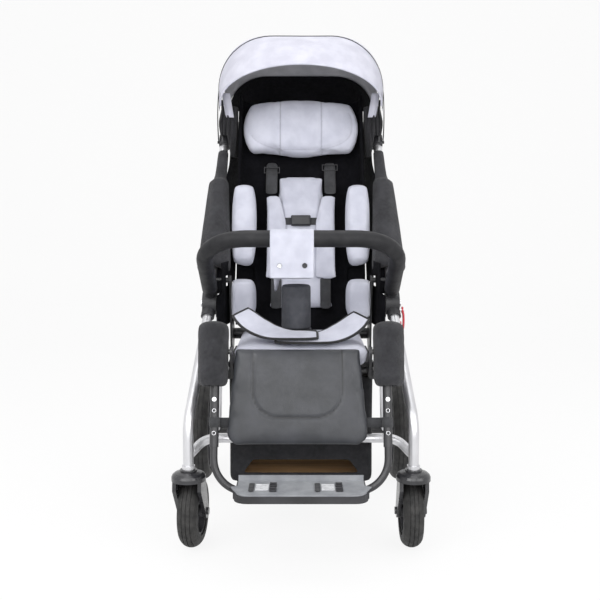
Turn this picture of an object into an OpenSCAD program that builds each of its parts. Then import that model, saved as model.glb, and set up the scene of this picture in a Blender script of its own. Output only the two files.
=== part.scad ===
// Folding buggy for a child with special needs, facing -Y, standing on z = 0.
// Depths (y) are measured back from the caster stems, and every node is then
// moved so that the middle of the overall length lies on y = 0.

/* [Side frame] */
// Diameter of the main frame tubes
tube_d = 25; // [22:0.5:28]
// How far each caster stem stands outside the seat cushion
stem_out = 108; // [95:1:125]
// Height of the lower end of the side tubes
stem_z = 205; // [203:1:212]
// Height at which the side tubes bend back
bend_z = 315; // [300:1:330]
// Radius of the bend in the side tubes
bend_r = 90; // [70:1:110]
// How far each fold pivot stands outside the seat cushion
pivot_out = 77; // [72:1:85]
// Depth of the fold pivots
pivot_y = 243; // [235:1:255]
// Height of the fold pivots
pivot_z = 576; // [570:1:590]
// Depth of the handle pivots
hub_y = 560; // [550:1:575]
// Height of the handle pivots
hub_z = 1045; // [1035:1:1060]
// How far the top of each upper tube stands outside the seat cushion
hub_stand = 59; // [56:1:62]
// Radius of the fold housings
hinge_r = 30; // [28:1:34]
// Width of the fold housings
hinge_w = 36; // [34:1:38]
// Diameter of the front cross tube
cross_d = 22; // [18:0.5:24]

/* [Wheels] */
// Wheelbase from the caster stems to the rear axle
wheelbase = 600; // [580:1:630]
// Diameter of the rear wheels
rear_d = 300; // [280:1:310]
// Width of the rear tyres
rear_w = 52; // [44:1:56]
// How far each rear wheel's middle stands outside the seat cushion
rear_out = 138; // [136:1:150]
// Diameter of the caster wheels
caster_d = 175; // [165:1:180]
// Width of the caster tyres
caster_w = 48; // [40:1:50]
// How far each caster wheel trails behind its stem
trail = 45; // [35:1:50]
// Yaw of the left caster as it stands
caster_yaw = -6; // [-20:1:20]
// Diameter of the rear axle tube
axle_d = 25; // [22:0.5:28]

/* [Seat] */
// Width of the seat cushion
seat_w = 320; // [270:1:380]
// Depth of the front of the seat cushion
seat_front_y = 24; // [24:1:40]
// Depth of the back of the seat cushion
seat_back_y = 345; // [335:1:350]
// Height of the seat surface
seat_z = 500; // [495:1:504]
// Thickness of the seat cushion
seat_t = 52; // [40:1:54]
// Height of the seat rails
rail_z = 425; // [420:1:428]
// How far each seat rail stands outside the seat cushion
rail_out = 12; // [11:1:16]
// Diameter of the seat rails
rail_d = 22; // [18:0.5:22]
// Diameter of the pommel between the thighs
pommel_d = 74; // [60:1:80]
// Height of the pommel
pommel_h = 110; // [90:1:120]
// Depth of the pommel
pommel_y = 150; // [145:1:170]
// Sideways place of the pommel
pommel_x = -12; // [-20:1:20]

/* [Back] */
// Depth of the recline hinge
recline_y = 375; // [370:1:385]
// Height of the recline hinge
recline_z = 478; // [472:1:484]
// Lean of the back from upright
back_lean = 20; // [15:1:24]
// How far the padded back reaches outside the seat cushion
back_out = 18; // [16:1:19]
// Length of the padded back
back_len = 690; // [660:1:710]
// Length of the back frame
back_frame_len = 640; // [600:1:650]
// Gap between the head cushion and each side of the padded back
head_side = 15; // [12:1:30]
// Height of the head cushion
head_h = 165; // [150:1:175]
// Thickness of the head cushion
head_t = 78; // [60:1:85]

/* [Leg rest] */
// Depth of the knee hinge
knee_y = 8; // [4:1:10]
// Height of the knee hinge
knee_z = 486; // [482:1:488]
// Forward lean of the leg rest
leg_lean = 15; // [12:0.5:18]
// How far each footrest tube stands outside the seat cushion
hanger_out = 42; // [41:1:46]
// Diameter of the footrest tubes
foot_tube_d = 17; // [15:0.5:18]
// Distance from the knee hinge down to the footplate hinge
foot_drop = 323; // [315:1:330]
// Radius of the bend at the foot of the footrest tubes
foot_bend_r = 75; // [60:1:78]
// Length of the calf panel below the knee hinge
calf_len = 207; // [190:1:210]
// Thickness of the calf panel
calf_t = 25; // [20:1:26]
// Radius of the padded hanger sleeves
hanger_pad_r = 38; // [28:0.5:38]

/* [Footplate] */
// Gap between each footrest tube and the footplate's widest line
plate_side = 29; // [28:1:40]
// How much narrower each side of the footplate is at its front edge
plate_taper = 23; // [15:1:30]
// Reach of the footplate in front of its hinge
plate_front = 94; // [85:1:96]
// Reach of the footplate behind its hinge
plate_rear = 25; // [20:1:26]
// Height of the plate's underside above its hinge
plate_rise = 14; // [14:0.5:18]

/* [Bumper bar] */
// Diameter of the foam on the bumper bar
foam_d = 40; // [34:1:40]
// How far each leg of the bar stands outside the seat cushion
bumper_out = 73; // [73:0.5:75]
// Reach of the bar from its sockets
bumper_reach = 281; // [260:1:290]
// Radius of the bar's corners
bumper_r = 105; // [80:1:120]
// Width of the fabric flap over the bar
flap_w = 104; // [80:1:120]

/* [Canopy] */
// Outer radius of the fixed rear panel
canopy_r = 290; // [280:1:296]
// How far the fixed rear panel reaches outside the seat cushion
canopy_out = 70; // [69:0.5:70]
// Radius of the canopy's side corners
canopy_corner = 95; // [70:1:110]
// Thickness of the canopy fabric
canopy_t = 3; // [2:0.5:3]
// How far the canopy pivots lie in front of the handle pivots
clamp_fore = 24; // [22:0.5:26]
// How far the canopy pivots lie below the handle pivots
clamp_drop = 35; // [30:1:40]
// Forward reach of the visor from upright
visor_front = 51; // [45:1:55]
// Where the visor ends, forward of upright
visor_back = 6; // [4:1:8]

/* [Push handle] */
// Length of the handle arms
handle_len = 284; // [260:1:300]
// Upward tilt of the handle arms
handle_tilt = 9; // [4:1:12]
// Diameter of the handle tube
handle_d = 20; // [18:0.5:22]
// Diameter of the handle grip
grip_d = 34; // [30:1:36]
// Distance of the grip's ends from the bends of the handle
grip_inset = 24.6; // [10:0.1:40]

/* [Basket] */
// How far the basket reaches outside the seat cushion
basket_out = 16; // [10:1:18]
// Depth of the front of the basket
basket_front_y = 72; // [72:1:80]
// Depth of the back of the basket
basket_back_y = 445; // [430:1:450]
// Height of the underside of the basket
basket_z = 148; // [144:1:156]
// Thickness of the basket fabric
basket_t = 3; // [2:0.5:4]

/* [Fits] */
// Gap between pieces that move past each other
gap = 0.4; // [0.3:0.05:0.5]
// Gap between pieces that rest against each other
seat_gap = 0.3; // [0.2:0.05:0.4]
// Radial clearance of pins and sliding tubes
fit = 0.05; // [0.03:0.01:0.08]

/* [Hidden] */
$fn = 48;

tube_r = tube_d / 2;
rear_r = rear_d / 2;
caster_r = caster_d / 2;
axle_r = axle_d / 2;
foot_r = foot_tube_d / 2;
foam_r = foam_d / 2;
handle_r = handle_d / 2;
grip_r = grip_d / 2;
rail_r = rail_d / 2;
cross_r = cross_d / 2;

// What stands beside the child is placed from the side of the seat cushion
seat_half = seat_w / 2;
stem_x = seat_half + stem_out;
pivot_x = seat_half + pivot_out;
hub_x = seat_half + hub_stand;
rear_x = seat_half + rear_out;
rail_x = seat_half + rail_out;
back_half = seat_half + back_out;
head_w = 2 * (back_half - head_side);
hanger_x = seat_half + hanger_out;
plate_rear_w = 2 * (hanger_x - plate_side);
plate_front_w = plate_rear_w - 2 * plate_taper;
bumper_x = seat_half + bumper_out;
canopy_half = seat_half + canopy_out;
basket_half = seat_half + basket_out;

// Pins and bolts
bolt_r = 5;
knee_pin_r = 6;
axle_pin_r = 6;
stem_pin_r = 6;
stem_pin_len = 40;
handle_pin_r = 6;
canopy_pin_r = 4;
recline_pin_r = 6;

// Fold housings and the tubes that meet in them
pivot = [pivot_x, pivot_y, pivot_z];
hub = [hub_x, hub_y, hub_z];
bend = [stem_x, 0, bend_z];
lower_dir = (pivot - bend) / norm(pivot - bend);
upper_dir = (hub - pivot) / norm(hub - pivot);
tube_end = 12;
sleeve_len = 45;
sleeve_r = tube_r + 5;
function on_lower(z) = bend + lower_dir * ((z - bend_z) / lower_dir.z);
function on_upper(z) = pivot + upper_dir * ((z - pivot_z) / upper_dir.z);

// Rear legs hang on the inner faces of the fold housings
lug_t = 8;
lug_r = 20;
lug_x = pivot_x - hinge_w / 2 - gap - lug_t / 2;
leg_r = 11;
leg_start = 48;
leg_x = rear_x - rear_w / 2 - leg_r - 7;
axle_half = leg_x + 8;
leg_dir = [0, wheelbase - pivot_y, rear_r - pivot_z] / norm([wheelbase - pivot_y, rear_r - pivot_z]);

// Sockets for the bumper bar
bumper_dir = [0, -0.835, 0.55] / norm([0.835, 0.55]);
socket = [bumper_x, pivot_y - 11, pivot_z + 22];
socket_seat = 3;
socket_mouth = 33;
socket_r = 14;
bar_r = 9;
bumper_front = socket + bumper_dir * bumper_reach;

// Handle hubs: the fixed half lies outside the turning half
hub_r = 22;
hub_in = hub_x - 13;
hub_out = hub_x + 13;
hub_w = handle_d + 2;
arm_x = hub_in - gap - hub_w / 2;
handle_bend = 60;
grip_len = 2 * (arm_x - handle_bend - grip_inset);

// Canopy pivots, and half the length of their clamps along the upper tubes
clamp_y = hub_y - clamp_fore;
clamp_z = hub_z - clamp_drop;
clamp_half = 17;

// Back, leg rest and footplate axes
recline = [0, recline_y, recline_z];
knee = [0, knee_y, knee_z];
foot_axis = [0, knee_y - foot_drop * sin(leg_lean), knee_z - foot_drop * cos(leg_lean)];
plate_t = 4;
tread_t = 2.7;
lip_h = 16;

// Seat frame plates beside the cushion
plate_in = seat_half + 2;
knee_plate_t = 6;
hanger_r = foot_r + 2;
knee_pin_end = hanger_x - hanger_r - 2;
side_plate_in = seat_half + 23.5;
side_plate_t = 5;
base_top_z = seat_z - seat_t - seat_gap;
base_t = base_top_z - rail_z - rail_r - seat_gap;
basket_top_z = rail_z - rail_r - seat_gap;

// Overall length sets where the middle lies
front_y = foot_axis.y - plate_front;
handle_end_y = hub_y + handle_len * cos(handle_tilt);
middle_y = (front_y + handle_end_y + grip_r) / 2;

light = [0.80, 0.81, 0.87];
dark = [0.16, 0.16, 0.18];
black = [0.07, 0.07, 0.08];
silver = [0.80, 0.80, 0.82];
leather = [0.27, 0.29, 0.33];

function unit(v) = v / norm(v);
function across(d) = unit(cross(d, abs(d.x) < 0.9 ? [1, 0, 0] : [0, 1, 0]));
function turn(p, i) = acos(unit(p[i] - p[i - 1]) * unit(p[i + 1] - p[i]));
function plane(p) = len(p) > 2 ? unit(cross(p[1] - p[0], p[2] - p[1])) : across(p[1] - p[0]);
function trim(p, i, r) = i == 0 || i == len(p) - 1 ? 0 : r * tan(turn(p, i) / 2);

// Moves a piece from the stems' origin to the middle of the overall length
module centred() {
    translate([0, -middle_y, 0]) children();
}

module on_side(side) {
    mirror([side < 0 ? 1 : 0, 0, 0]) children();
}

module both_sides() {
    for (side = [-1, 1]) on_side(side) children();
}

module axes_at(p, x, y, z) {
    multmatrix([[x.x, y.x, z.x, p.x], [x.y, y.y, z.y, p.y], [x.z, y.z, z.z, p.z], [0, 0, 0, 1]])
        children();
}

module rod(p, q, r) {
    z = unit(q - p);
    x = across(z);
    axes_at(p, x, cross(z, x), z) cylinder(h = norm(q - p), r = r);
}

// A rod along X from one x to another, at depth y and height z
module cross_rod(x0, x1, y, z, r) {
    translate([x0, y, z]) rotate([0, 90, 0]) cylinder(h = x1 - x0, r = r);
}

// A plate cut from a y-z outline, from one x to another
module side_plate(x0, x1) {
    translate([x0, 0, 0]) rotate([90, 0, 90]) linear_extrude(x1 - x0) children();
}

// A bar along straight runs that lap into slightly fuller round bends
bend_swell = 0.2;
bend_lap = 2;

module tube_path(p, r, bend_r) {
    function lap(i) = i == 0 || i == len(p) - 1 ? 0 : trim(p, i, bend_r) - bend_lap;
    x = plane(p);
    for (i = [1 : len(p) - 1]) {
        d = unit(p[i] - p[i - 1]);
        a = p[i - 1] + d * lap(i - 1);
        b = p[i] - d * lap(i);
        axes_at(a, x, cross(d, x), d) cylinder(h = norm(b - a), r = r);
    }
    for (i = [1 : 1 : len(p) - 2]) {
        d = unit(p[i] - p[i - 1]);
        n = unit(cross(d, p[i + 1] - p[i]));
        c = cross(n, d);
        axes_at(p[i] - d * trim(p, i, bend_r) + c * bend_r, -c, d, n)
            rotate_extrude(angle = turn(p, i)) translate([bend_r, 0]) circle(r + bend_swell);
    }
}

// Padded block on z = 0: crowned top, rounded corners, sides drawn in between
// the corners, and sewn channels given as [across, depth, width] in half widths
function pad_rim(nx, ny) = concat(
    [for (i = [0 : nx - 1]) [i, 0]],
    [for (j = [0 : ny - 1]) [nx, j]],
    [for (i = [nx : -1 : 1]) [i, ny]],
    [for (j = [ny : -1 : 1]) [0, j]]);

module pad(size, crown, top_w = 0, round = 0.25, draw = 0.015, channels = [], n = [12, 8]) {
    nx = n.x;
    ny = n.y;
    upper_w = top_w > 0 ? top_w : size.x;
    function wide(v) = (size.x + (upper_w - size.x) * (v + 1) / 2) / 2;
    function at(i, j, s, z) = let (u = s * (2 * i / nx - 1), v = s * (2 * j / ny - 1))
        [wide(v) * u * sqrt(1 - round * v * v / 2) * (1 - draw * (1 - v * v)),
         size.y / 2 * v * sqrt(1 - round * u * u / 2) * (1 - draw * (1 - u * u)), z];
    function dome(i, j) = let (u = 2 * i / nx - 1, v = 2 * j / ny - 1)
        (1 - pow(u, 4)) * (1 - pow(v, 4));
    function sewn(i) = let (u = 2 * i / nx - 1)
        max(concat([0], [for (c = channels) c[1] * exp(-pow((u - c[0]) / c[2], 2))]));
    inset = 0.95;
    rim = pad_rim(nx, ny);
    grid = (nx + 1) * (ny + 1);
    low = [for (j = [0 : ny], i = [0 : nx]) at(i, j, inset, 0)];
    high = [for (j = [0 : ny], i = [0 : nx])
        at(i, j, inset, size.z - crown * (1 - dome(i, j)) - sewn(i) * (1 - pow(2 * j / ny - 1, 8)))];
    belt = [for (k = rim) at(k[0], k[1], 1, (size.z - crown) / 2)];
    function id(i, j) = j * (nx + 1) + i;
    cells = [for (j = [0 : ny - 1], i = [0 : nx - 1])
        [id(i, j), id(i + 1, j), id(i + 1, j + 1), id(i, j + 1)]];
    faces = concat(
        [for (c = cells, t = [[0, 1, 2], [0, 2, 3]]) [for (k = t) c[k]]],
        [for (c = cells, t = [[0, 2, 1], [0, 3, 2]]) [for (k = t) c[k] + grid]],
        [for (k = [0 : len(rim) - 1]) let (m = (k + 1) % len(rim), a = id(rim[k][0], rim[k][1]),
            b = id(rim[m][0], rim[m][1]), c = 2 * grid + k, d = 2 * grid + m)
            each [[a, c, d], [a, d, b], [c, a + grid, b + grid], [c, b + grid, d]]]);
    polyhedron(concat(low, high, belt), faces);
}

// A soft band along stations of [middle, half width vector, half thickness vector]
module band(stations, sides = 12) {
    count = len(stations);
    points = [for (s = stations, k = [0 : sides - 1]) let (a = 360 * k / sides, c = cos(a), t = sin(a))
        s[0] + s[1] * sign(c) * pow(abs(c), 0.6) + s[2] * sign(t) * pow(abs(t), 0.6)];
    walls = [for (i = [0 : count - 2], k = [0 : sides - 1])
        let (m = (k + 1) % sides, a = i * sides + k, b = i * sides + m, c = a + sides, d = b + sides)
            each [[a, c, d], [a, d, b]]];
    ends = [for (k = [1 : sides - 2])
        each [[0, k, k + 1], [(count - 1) * sides, (count - 1) * sides + k + 1, (count - 1) * sides + k]]];
    polyhedron(points, concat(walls, ends));
}

// Frames of the leaning parts: local z runs up the part and -y faces forward
module on_back() {
    translate(recline) rotate([-back_lean, 0, 0]) children();
}

module on_leg() {
    translate(knee) rotate([-leg_lean, 0, 0]) children();
}

// Stands a pad's outline upright, with its crown facing forward
module facing(x, y, z) {
    translate([x, y, z]) rotate([90, 0, 0]) children();
}

module side_tube(side) {
    color(silver) centred() on_side(side) difference() {
        union() {
            tube_path([[stem_x, 0, stem_z], bend, pivot - lower_dir * tube_end], tube_r, bend_r);
            translate([stem_x, 0, stem_z]) cylinder(h = 9, r = tube_r + 3);
        }
        translate([stem_x, 0, stem_z - 1]) cylinder(h = stem_pin_len + 4, r = stem_pin_r + fit);
    }
}

module upper_tube(side) {
    color(silver) centred() on_side(side) {
        rod(pivot + upper_dir * tube_end, hub, tube_r);
        cross_rod(hub_in, hub_out, hub_y, hub_z, hub_r);
        cross_rod(hub_in - gap - hub_w + 3, hub_in, hub_y, hub_z, handle_pin_r);
    }
}

module frame_hinge(side) {
    color(black) centred() on_side(side) difference() {
        union() {
            cross_rod(pivot_x - hinge_w / 2, pivot_x + hinge_w / 2, pivot_y, pivot_z, hinge_r);
            rod(pivot, pivot - lower_dir * sleeve_len, sleeve_r);
            rod(pivot, pivot + upper_dir * sleeve_len, sleeve_r);
            rod(socket - bumper_dir * 6, socket + bumper_dir * socket_mouth, socket_r);
        }
        rod(pivot - lower_dir * tube_end, pivot - lower_dir * (sleeve_len + 1), tube_r);
        rod(pivot + upper_dir * tube_end, pivot + upper_dir * (sleeve_len + 1), tube_r);
        rod(socket + bumper_dir * socket_seat, socket + bumper_dir * (socket_mouth + 1), bar_r + fit);
        cross_rod(pivot_x - hinge_w, pivot_x + hinge_w, pivot_y, pivot_z, bolt_r);
        if (side > 0) cross_rod(lever_pin.x, lever_x + lever_t, lever_pin.y, lever_pin.z, lever_pin_r);
    }
}

// Pivot bolts with a head outside and a nut inside, and the pin of the lock lever
bolt_head_h = 5;
bolt_head_r = 9;
head_x = pivot_x + hinge_w / 2;
nut_x = lug_x - lug_t / 2 - gap;
lever_pin = [head_x, pivot_y - 18, pivot_z - 16];
lever_x = lever_pin.x + 5;
lever_t = 5;
lever_pin_r = 4;

module frame_bolts() {
    color(silver) centred() {
        both_sides() {
            cross_rod(nut_x - bolt_head_h, head_x, pivot_y, pivot_z, bolt_r);
            cross_rod(head_x, head_x + bolt_head_h, pivot_y, pivot_z, bolt_head_r);
            cross_rod(nut_x - bolt_head_h, nut_x, pivot_y, pivot_z, bolt_head_r);
        }
        cross_rod(lever_pin.x, lever_x + lever_t + 2, lever_pin.y, lever_pin.z, lever_pin_r);
    }
}

// Red hook lever that locks the fold, on the right housing
lever_len = 44;
hook_r = 13;

module lock_lever() {
    color([0.75, 0.12, 0.16]) centred() translate([0, lever_pin.y, lever_pin.z])
        side_plate(lever_x, lever_x + lever_t) difference() {
            union() {
                circle(9);
                translate([-4.5, -lever_len]) square([9, lever_len]);
                translate([4.5 - hook_r, -lever_len]) intersection() {
                    circle(hook_r);
                    translate([-hook_r, -hook_r]) square([2 * hook_r, hook_r]);
                }
                translate([4.5 - 2 * hook_r, -lever_len]) square([6, 12]);
            }
            circle(lever_pin_r + fit);
            translate([4.5 - hook_r, -lever_len]) intersection() {
                circle(hook_r - 7);
                translate([-hook_r, -hook_r]) square([2 * hook_r, hook_r]);
            }
        }
}

// Arched tube between the side tubes, above the casters
cross_y = 45;
cross_z = 268;
cross_low_z = 236;
cross_x = stem_x - 36;

module front_cross_tube() {
    color(silver) centred() difference() {
        tube_path([[-stem_x, 0, cross_low_z], [-cross_x, cross_y, cross_z], [cross_x, cross_y, cross_z],
            [stem_x, 0, cross_low_z]], cross_r, 50);
        both_sides() translate([stem_x, 0, cross_low_z - 60]) cylinder(h = 130, r = tube_r);
    }
}

// Seat rails, knee plates, links to the side tubes and plates up to the upper tubes
link_z = rail_z;
hang_z = pivot_z + 57;
rail_front_y = 40;
rail_cross_y = 88;
link_r = 9;

module seat_frame() {
    hang = on_upper(hang_z);
    link = on_lower(link_z);
    color(dark) centred() difference() {
        union() {
            both_sides() {
                rod([rail_x, rail_front_y, rail_z], [rail_x, seat_back_y, rail_z], rail_r);
                side_plate(plate_in, plate_in + knee_plate_t) union() {
                    translate([knee_y, knee_z]) circle(12);
                    polygon([[knee_y - 11, knee_z - 5], [knee_y + 11, knee_z + 5],
                        [rail_front_y + 40, rail_z + 6], [rail_front_y + 40, rail_z - 6],
                        [rail_front_y + 2, rail_z - 6]]);
                }
                cross_rod(plate_in + knee_plate_t, knee_pin_end, knee_y, knee_z, knee_pin_r);
                rod([rail_x, link.y, link_z], [link.x, link.y, link_z], link_r);
                side_plate(side_plate_in, side_plate_in + side_plate_t) union() {
                    translate([recline_y, recline_z]) circle(15);
                    translate([hang.y, hang_z]) circle(13);
                    polygon([[seat_back_y - 50, rail_z - 10], [seat_back_y, rail_z - 10],
                        [recline_y + 13, recline_z - 8], [recline_y + 12, recline_z + 9],
                        [hang.y + 12, hang_z + 5], [hang.y - 12, hang_z - 5]]);
                }
                rod([rail_x, seat_back_y - 15, rail_z], [side_plate_in + 1, seat_back_y - 15, rail_z], 9);
                cross_rod(recline_inner, side_plate_in, recline_y, recline_z, recline_pin_r);
                rod([side_plate_in, hang.y, hang_z], [hang.x, hang.y, hang_z], 7);
            }
            for (y = [rail_cross_y, seat_back_y - 15]) rod([-rail_x, y, rail_z], [rail_x, y, rail_z], 8);
        }
        both_sides() {
            rod(bend, pivot, tube_r);
            rod(pivot, hub, tube_r);
        }
    }
}

base_half = rail_x + 6;
base_front_y = 84;

module seat_base() {
    color(black) centred() translate([-base_half, base_front_y, base_top_z - base_t])
        cube([2 * base_half, seat_back_y - base_front_y, base_t]);
}

module seat_cushion() {
    color(light) centred() translate([0, (seat_front_y + seat_back_y) / 2, seat_z - seat_t])
        pad([seat_w, seat_back_y - seat_front_y, seat_t], 7, round = 0.1, draw = 0.006, n = [12, 10]);
}

pommel_base_h = 22;

module pommel_base() {
    color(black) centred() translate([pommel_x, pommel_y, seat_z + seat_gap]) {
        cylinder(h = pommel_base_h - 6, r = pommel_d / 2 + 7);
        cylinder(h = pommel_base_h, r = pommel_d / 2 + 1);
        for (s = [-1, 1]) translate([s * (pommel_d / 2 + 3), 0, 11]) rotate([0, s * 90, 0])
            cylinder(h = 11, r = 8);
    }
}

module pommel() {
    color([0.2, 0.21, 0.24]) centred() translate([pommel_x, pommel_y, seat_z + seat_gap + pommel_base_h])
        rotate_extrude() union() {
            square([pommel_d / 2, pommel_h - 6]);
            square([pommel_d / 2 - 6, pommel_h]);
            translate([pommel_d / 2 - 6, pommel_h - 6]) circle(6);
        }
}

// Two padded belt wings that cross on the seat in front of the pommel
wing_half = 36;
wing_t = 4.5;
wing_lift = 3.65;
wing_y = 66;

module wing(side, tip_x, lift) {
    rise = function (x) let (t = max(0, (x - seat_half + 100) / 100)) seat_z + lift + 52 * t * t;
    back = function (x) let (t = max(0, (x - seat_half + 120) / 120)) wing_y + 62 * t * t;
    end_x = seat_half - 10;
    stations = [for (k = [0 : 8]) let (x = tip_x + (end_x - tip_x) * k / 8, end = k == 0 || k == 8 ? 0.72 : 1,
        slope = (rise(x + 1) - rise(x)), swing = (back(x + 1) - back(x)))
        [[x, back(x), rise(x)], end * wing_half * unit([-swing, 1, 0.12 * max(0, x / end_x)]),
         end * wing_t * unit([-slope, -0.1, 1])]];
    on_side(side) band(stations);
}

module thigh_wings() {
    color(light) centred() {
        wing(1, -62, wing_lift);
        wing(-1, -40, wing_lift + 2 * wing_t + seat_gap);
    }
}

hip_in = seat_half - 48;
hip_y = 288;
hip_rise = 83;
hip_w = 96;
hip_h = 112;

module hip_pads() {
    color(light) centred() both_sides()
        translate([side_plate_in - seat_gap, hip_y, seat_z + hip_rise]) rotate([90, 0, -90])
            pad([hip_w, hip_h, side_plate_in - hip_in], 10, round = 0.5, n = [8, 8]);
}

// Padded sleeves round the upper tubes, a thin neck above a full arm pad, with
// fabric side panels that close the gaps beside the back and the hips
arm_low_z = pivot_z + 78;
arm_high_z = clamp_z - (clamp_half + 1) * upper_dir.z;
arm_low_r = 47;
arm_high_r = 30;
panel_t = 2.5;
panel_in = back_half + 3;
panel_out = hub_x - tube_r - 3;
panel_reach = 92;

module side_panel() {
    d = unit([0, upper_dir.y, upper_dir.z]);
    low = on_upper(arm_low_z + 10);
    top = on_upper(arm_high_z - 12);
    axes_at([0, low.y, low.z], [1, 0, 0], cross(d, [1, 0, 0]), d) linear_extrude((top.z - low.z) / d.z)
        polygon([[panel_out - panel_t, -6], [panel_out, -6],
            [panel_in + panel_t, panel_reach], [panel_in, panel_reach]]);
}

module hip_panel() {
    hang = on_upper(hang_z);
    inner = side_plate_in + side_plate_t + 1;
    outer = nut_x - bolt_head_h - 1;
    difference() {
        translate([0, 0, seat_z + 14]) linear_extrude(arm_low_z + 30 - seat_z - 14)
            polygon([[outer - panel_t, pivot_y - 20], [outer, pivot_y - 20],
                [inner + panel_t, seat_back_y - 15], [inner, seat_back_y - 15]]);
        cross_rod(inner - 10, pivot_x, hang.y, hang.z, 7 + seat_gap);
    }
}

module arm_pads() {
    low = on_upper(arm_low_z);
    len = norm(on_upper(arm_high_z) - low);
    body = 0.71 * len;
    function arm_r(t) = (arm_low_r + (arm_high_r - arm_low_r) * t)
        * pow(1 - pow(abs(2 * t - 1), 9), 1 / 9);
    profile = [for (k = [0 : 16]) let (t = 0.004 + 0.98 * k / 16) [max(arm_r(t), tube_r + 4), body * t]];
    x = across(upper_dir);
    color(dark) centred() both_sides() difference() {
        union() {
            axes_at(low, x, cross(upper_dir, x), upper_dir) rotate_extrude()
                polygon(concat([[0, 0]], profile, [[tube_r + 3.5, body + 6], [tube_r + 3, len], [0, len]]));
            side_panel();
            hip_panel();
        }
        axes_at(low, x, cross(upper_dir, x), upper_dir) translate([0, 0, -60])
            cylinder(h = len + 120, r = tube_r + fit);
    }
}

// Fabric basket under the seat, with an arched slit low in its front wall
module basket_outline(t) {
    polygon([[basket_front_y + t, basket_top_z + t], [basket_front_y + 4 + t, basket_z + 12],
        [basket_front_y + 18, basket_z + t], [basket_back_y - 50, basket_z + t],
        [basket_back_y - t, basket_z + 130], [basket_back_y - t, basket_top_z + t]]);
}

module basket() {
    color(black) centred() difference() {
        side_plate(-basket_half, basket_half) basket_outline(0);
        side_plate(-basket_half + basket_t, basket_half - basket_t) basket_outline(basket_t);
        translate([0, basket_front_y + 30, 0]) rotate([90, 0, 0]) linear_extrude(40)
            polygon([[33 - basket_half, basket_z + 25], [basket_half - 33, basket_z + 25],
                [basket_half - 56, basket_z + 59], [56 - basket_half, basket_z + 59]]);
    }
}

module basket_board() {
    color([0.72, 0.52, 0.32]) centred()
        translate([-basket_half + 8, basket_front_y + 22, basket_z + basket_t + seat_gap])
            cube([2 * basket_half - 16, basket_back_y - basket_front_y - 80, 5]);
}

// Clamps on the upper tubes carry the canopy's pivot pins and rear panel posts
clamp_in_x = canopy_half - canopy_t - seat_gap;
visor_gap = 2;
visor_half = canopy_half + visor_gap + canopy_t;
arm_strip_t = 3;
strip_in = 0.5;

module canopy_clamps() {
    at = on_upper(clamp_z);
    color(black) centred() both_sides() difference() {
        union() {
            intersection() {
                rod(at - upper_dir * clamp_half, at + upper_dir * clamp_half, tube_r + 5.5);
                translate([0, clamp_y - 100, clamp_z - 100]) cube([visor_half - strip_in - gap, 200, 200]);
            }
            cross_rod(clamp_in_x, visor_half + arm_strip_t + 2, clamp_y, clamp_z, canopy_pin_r);
            translate([clamp_in_x - 5.2, clamp_y - 21, clamp_z]) cube([5.2, 18, 118]);
        }
        rod(at - upper_dir * 60, at + upper_dir * 60, tube_r);
    }
}

// Half of a canopy wall, from the crown at height r down to the pivots' side
module canopy_half_section(r, half, low) {
    c = canopy_corner;
    module wall(k) {
        translate([0, low]) square([half - k, r - c - low]);
        translate([0, low]) square([half - c, r - k - low]);
        intersection() {
            translate([half - c, r - c]) circle(c - k);
            translate([half - c, r - c]) square(c);
        }
    }
    difference() {
        wall(0);
        translate([0, -1]) wall(canopy_t);
    }
}

// A stretch of canopy between two angles forward of upright
canopy_low = 80;

module canopy_stretch(r, half, front, back) {
    translate([0, clamp_y, clamp_z]) both_sides() rotate([0, 90, 0]) rotate([0, 0, 180 + back])
        rotate_extrude(angle = front - back) rotate(90) mirror([0, 1])
            canopy_half_section(r, half, canopy_low);
}

module canopy_rear_panel() {
    color(light) centred() canopy_stretch(canopy_r, canopy_half, visor_back + 4, -44);
}

// Black curtain behind the rear panel, and its gathered fronts beside the clamps
gather_in = canopy_half - 43;
gather_h = 86;

module canopy_curtain() {
    gather_w = clamp_in_x - gather_in;
    color(black) centred() {
        canopy_stretch(canopy_r, canopy_half, -44, -62);
        both_sides() facing(gather_in + gather_w / 2, clamp_y - 21 - seat_gap, clamp_z + 58)
            pad([gather_w, gather_h, 44], 12, round = 0.5, n = [6, 8]);
    }
}

module canopy_visor() {
    color(light) centred() union() {
        canopy_stretch(canopy_r + visor_gap + canopy_t, visor_half, visor_front, visor_back);
        both_sides() translate([0, clamp_y, clamp_z]) difference() {
            union() {
                cross_rod(visor_half - strip_in, visor_half + arm_strip_t, 0, 0, 10);
                rotate([visor_front - 9, 0, 0]) translate([visor_half - strip_in, -8, 0])
                    cube([arm_strip_t + strip_in, 16, 190]);
            }
            cross_rod(visor_half - 1, visor_half + arm_strip_t + 1, 0, 0, canopy_pin_r + fit);
        }
    }
}

module rear_leg(side) {
    start = pivot + leg_dir * leg_start;
    foot = [leg_x, wheelbase, rear_r];
    color(silver) centred() on_side(side) difference() {
        union() {
            side_plate(lug_x - lug_t / 2, lug_x + lug_t / 2) translate([pivot_y, pivot_z]) difference() {
                union() {
                    circle(lug_r);
                    rotate(atan2(leg_dir.z, leg_dir.y)) translate([0, -13]) square([leg_start + 14, 26]);
                }
                circle(bolt_r + fit);
            }
            rod([lug_x, start.y, start.z], foot, leg_r);
        }
        cross_rod(leg_x - 40, leg_x + 40, wheelbase, rear_r, axle_r);
    }
}

brake_y = wheelbase + 36;
brake_z = rear_r + 28;
brake_r = 7;
brake_bracket_x = leg_x - 78;
hub_face = rear_x + 18;

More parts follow.
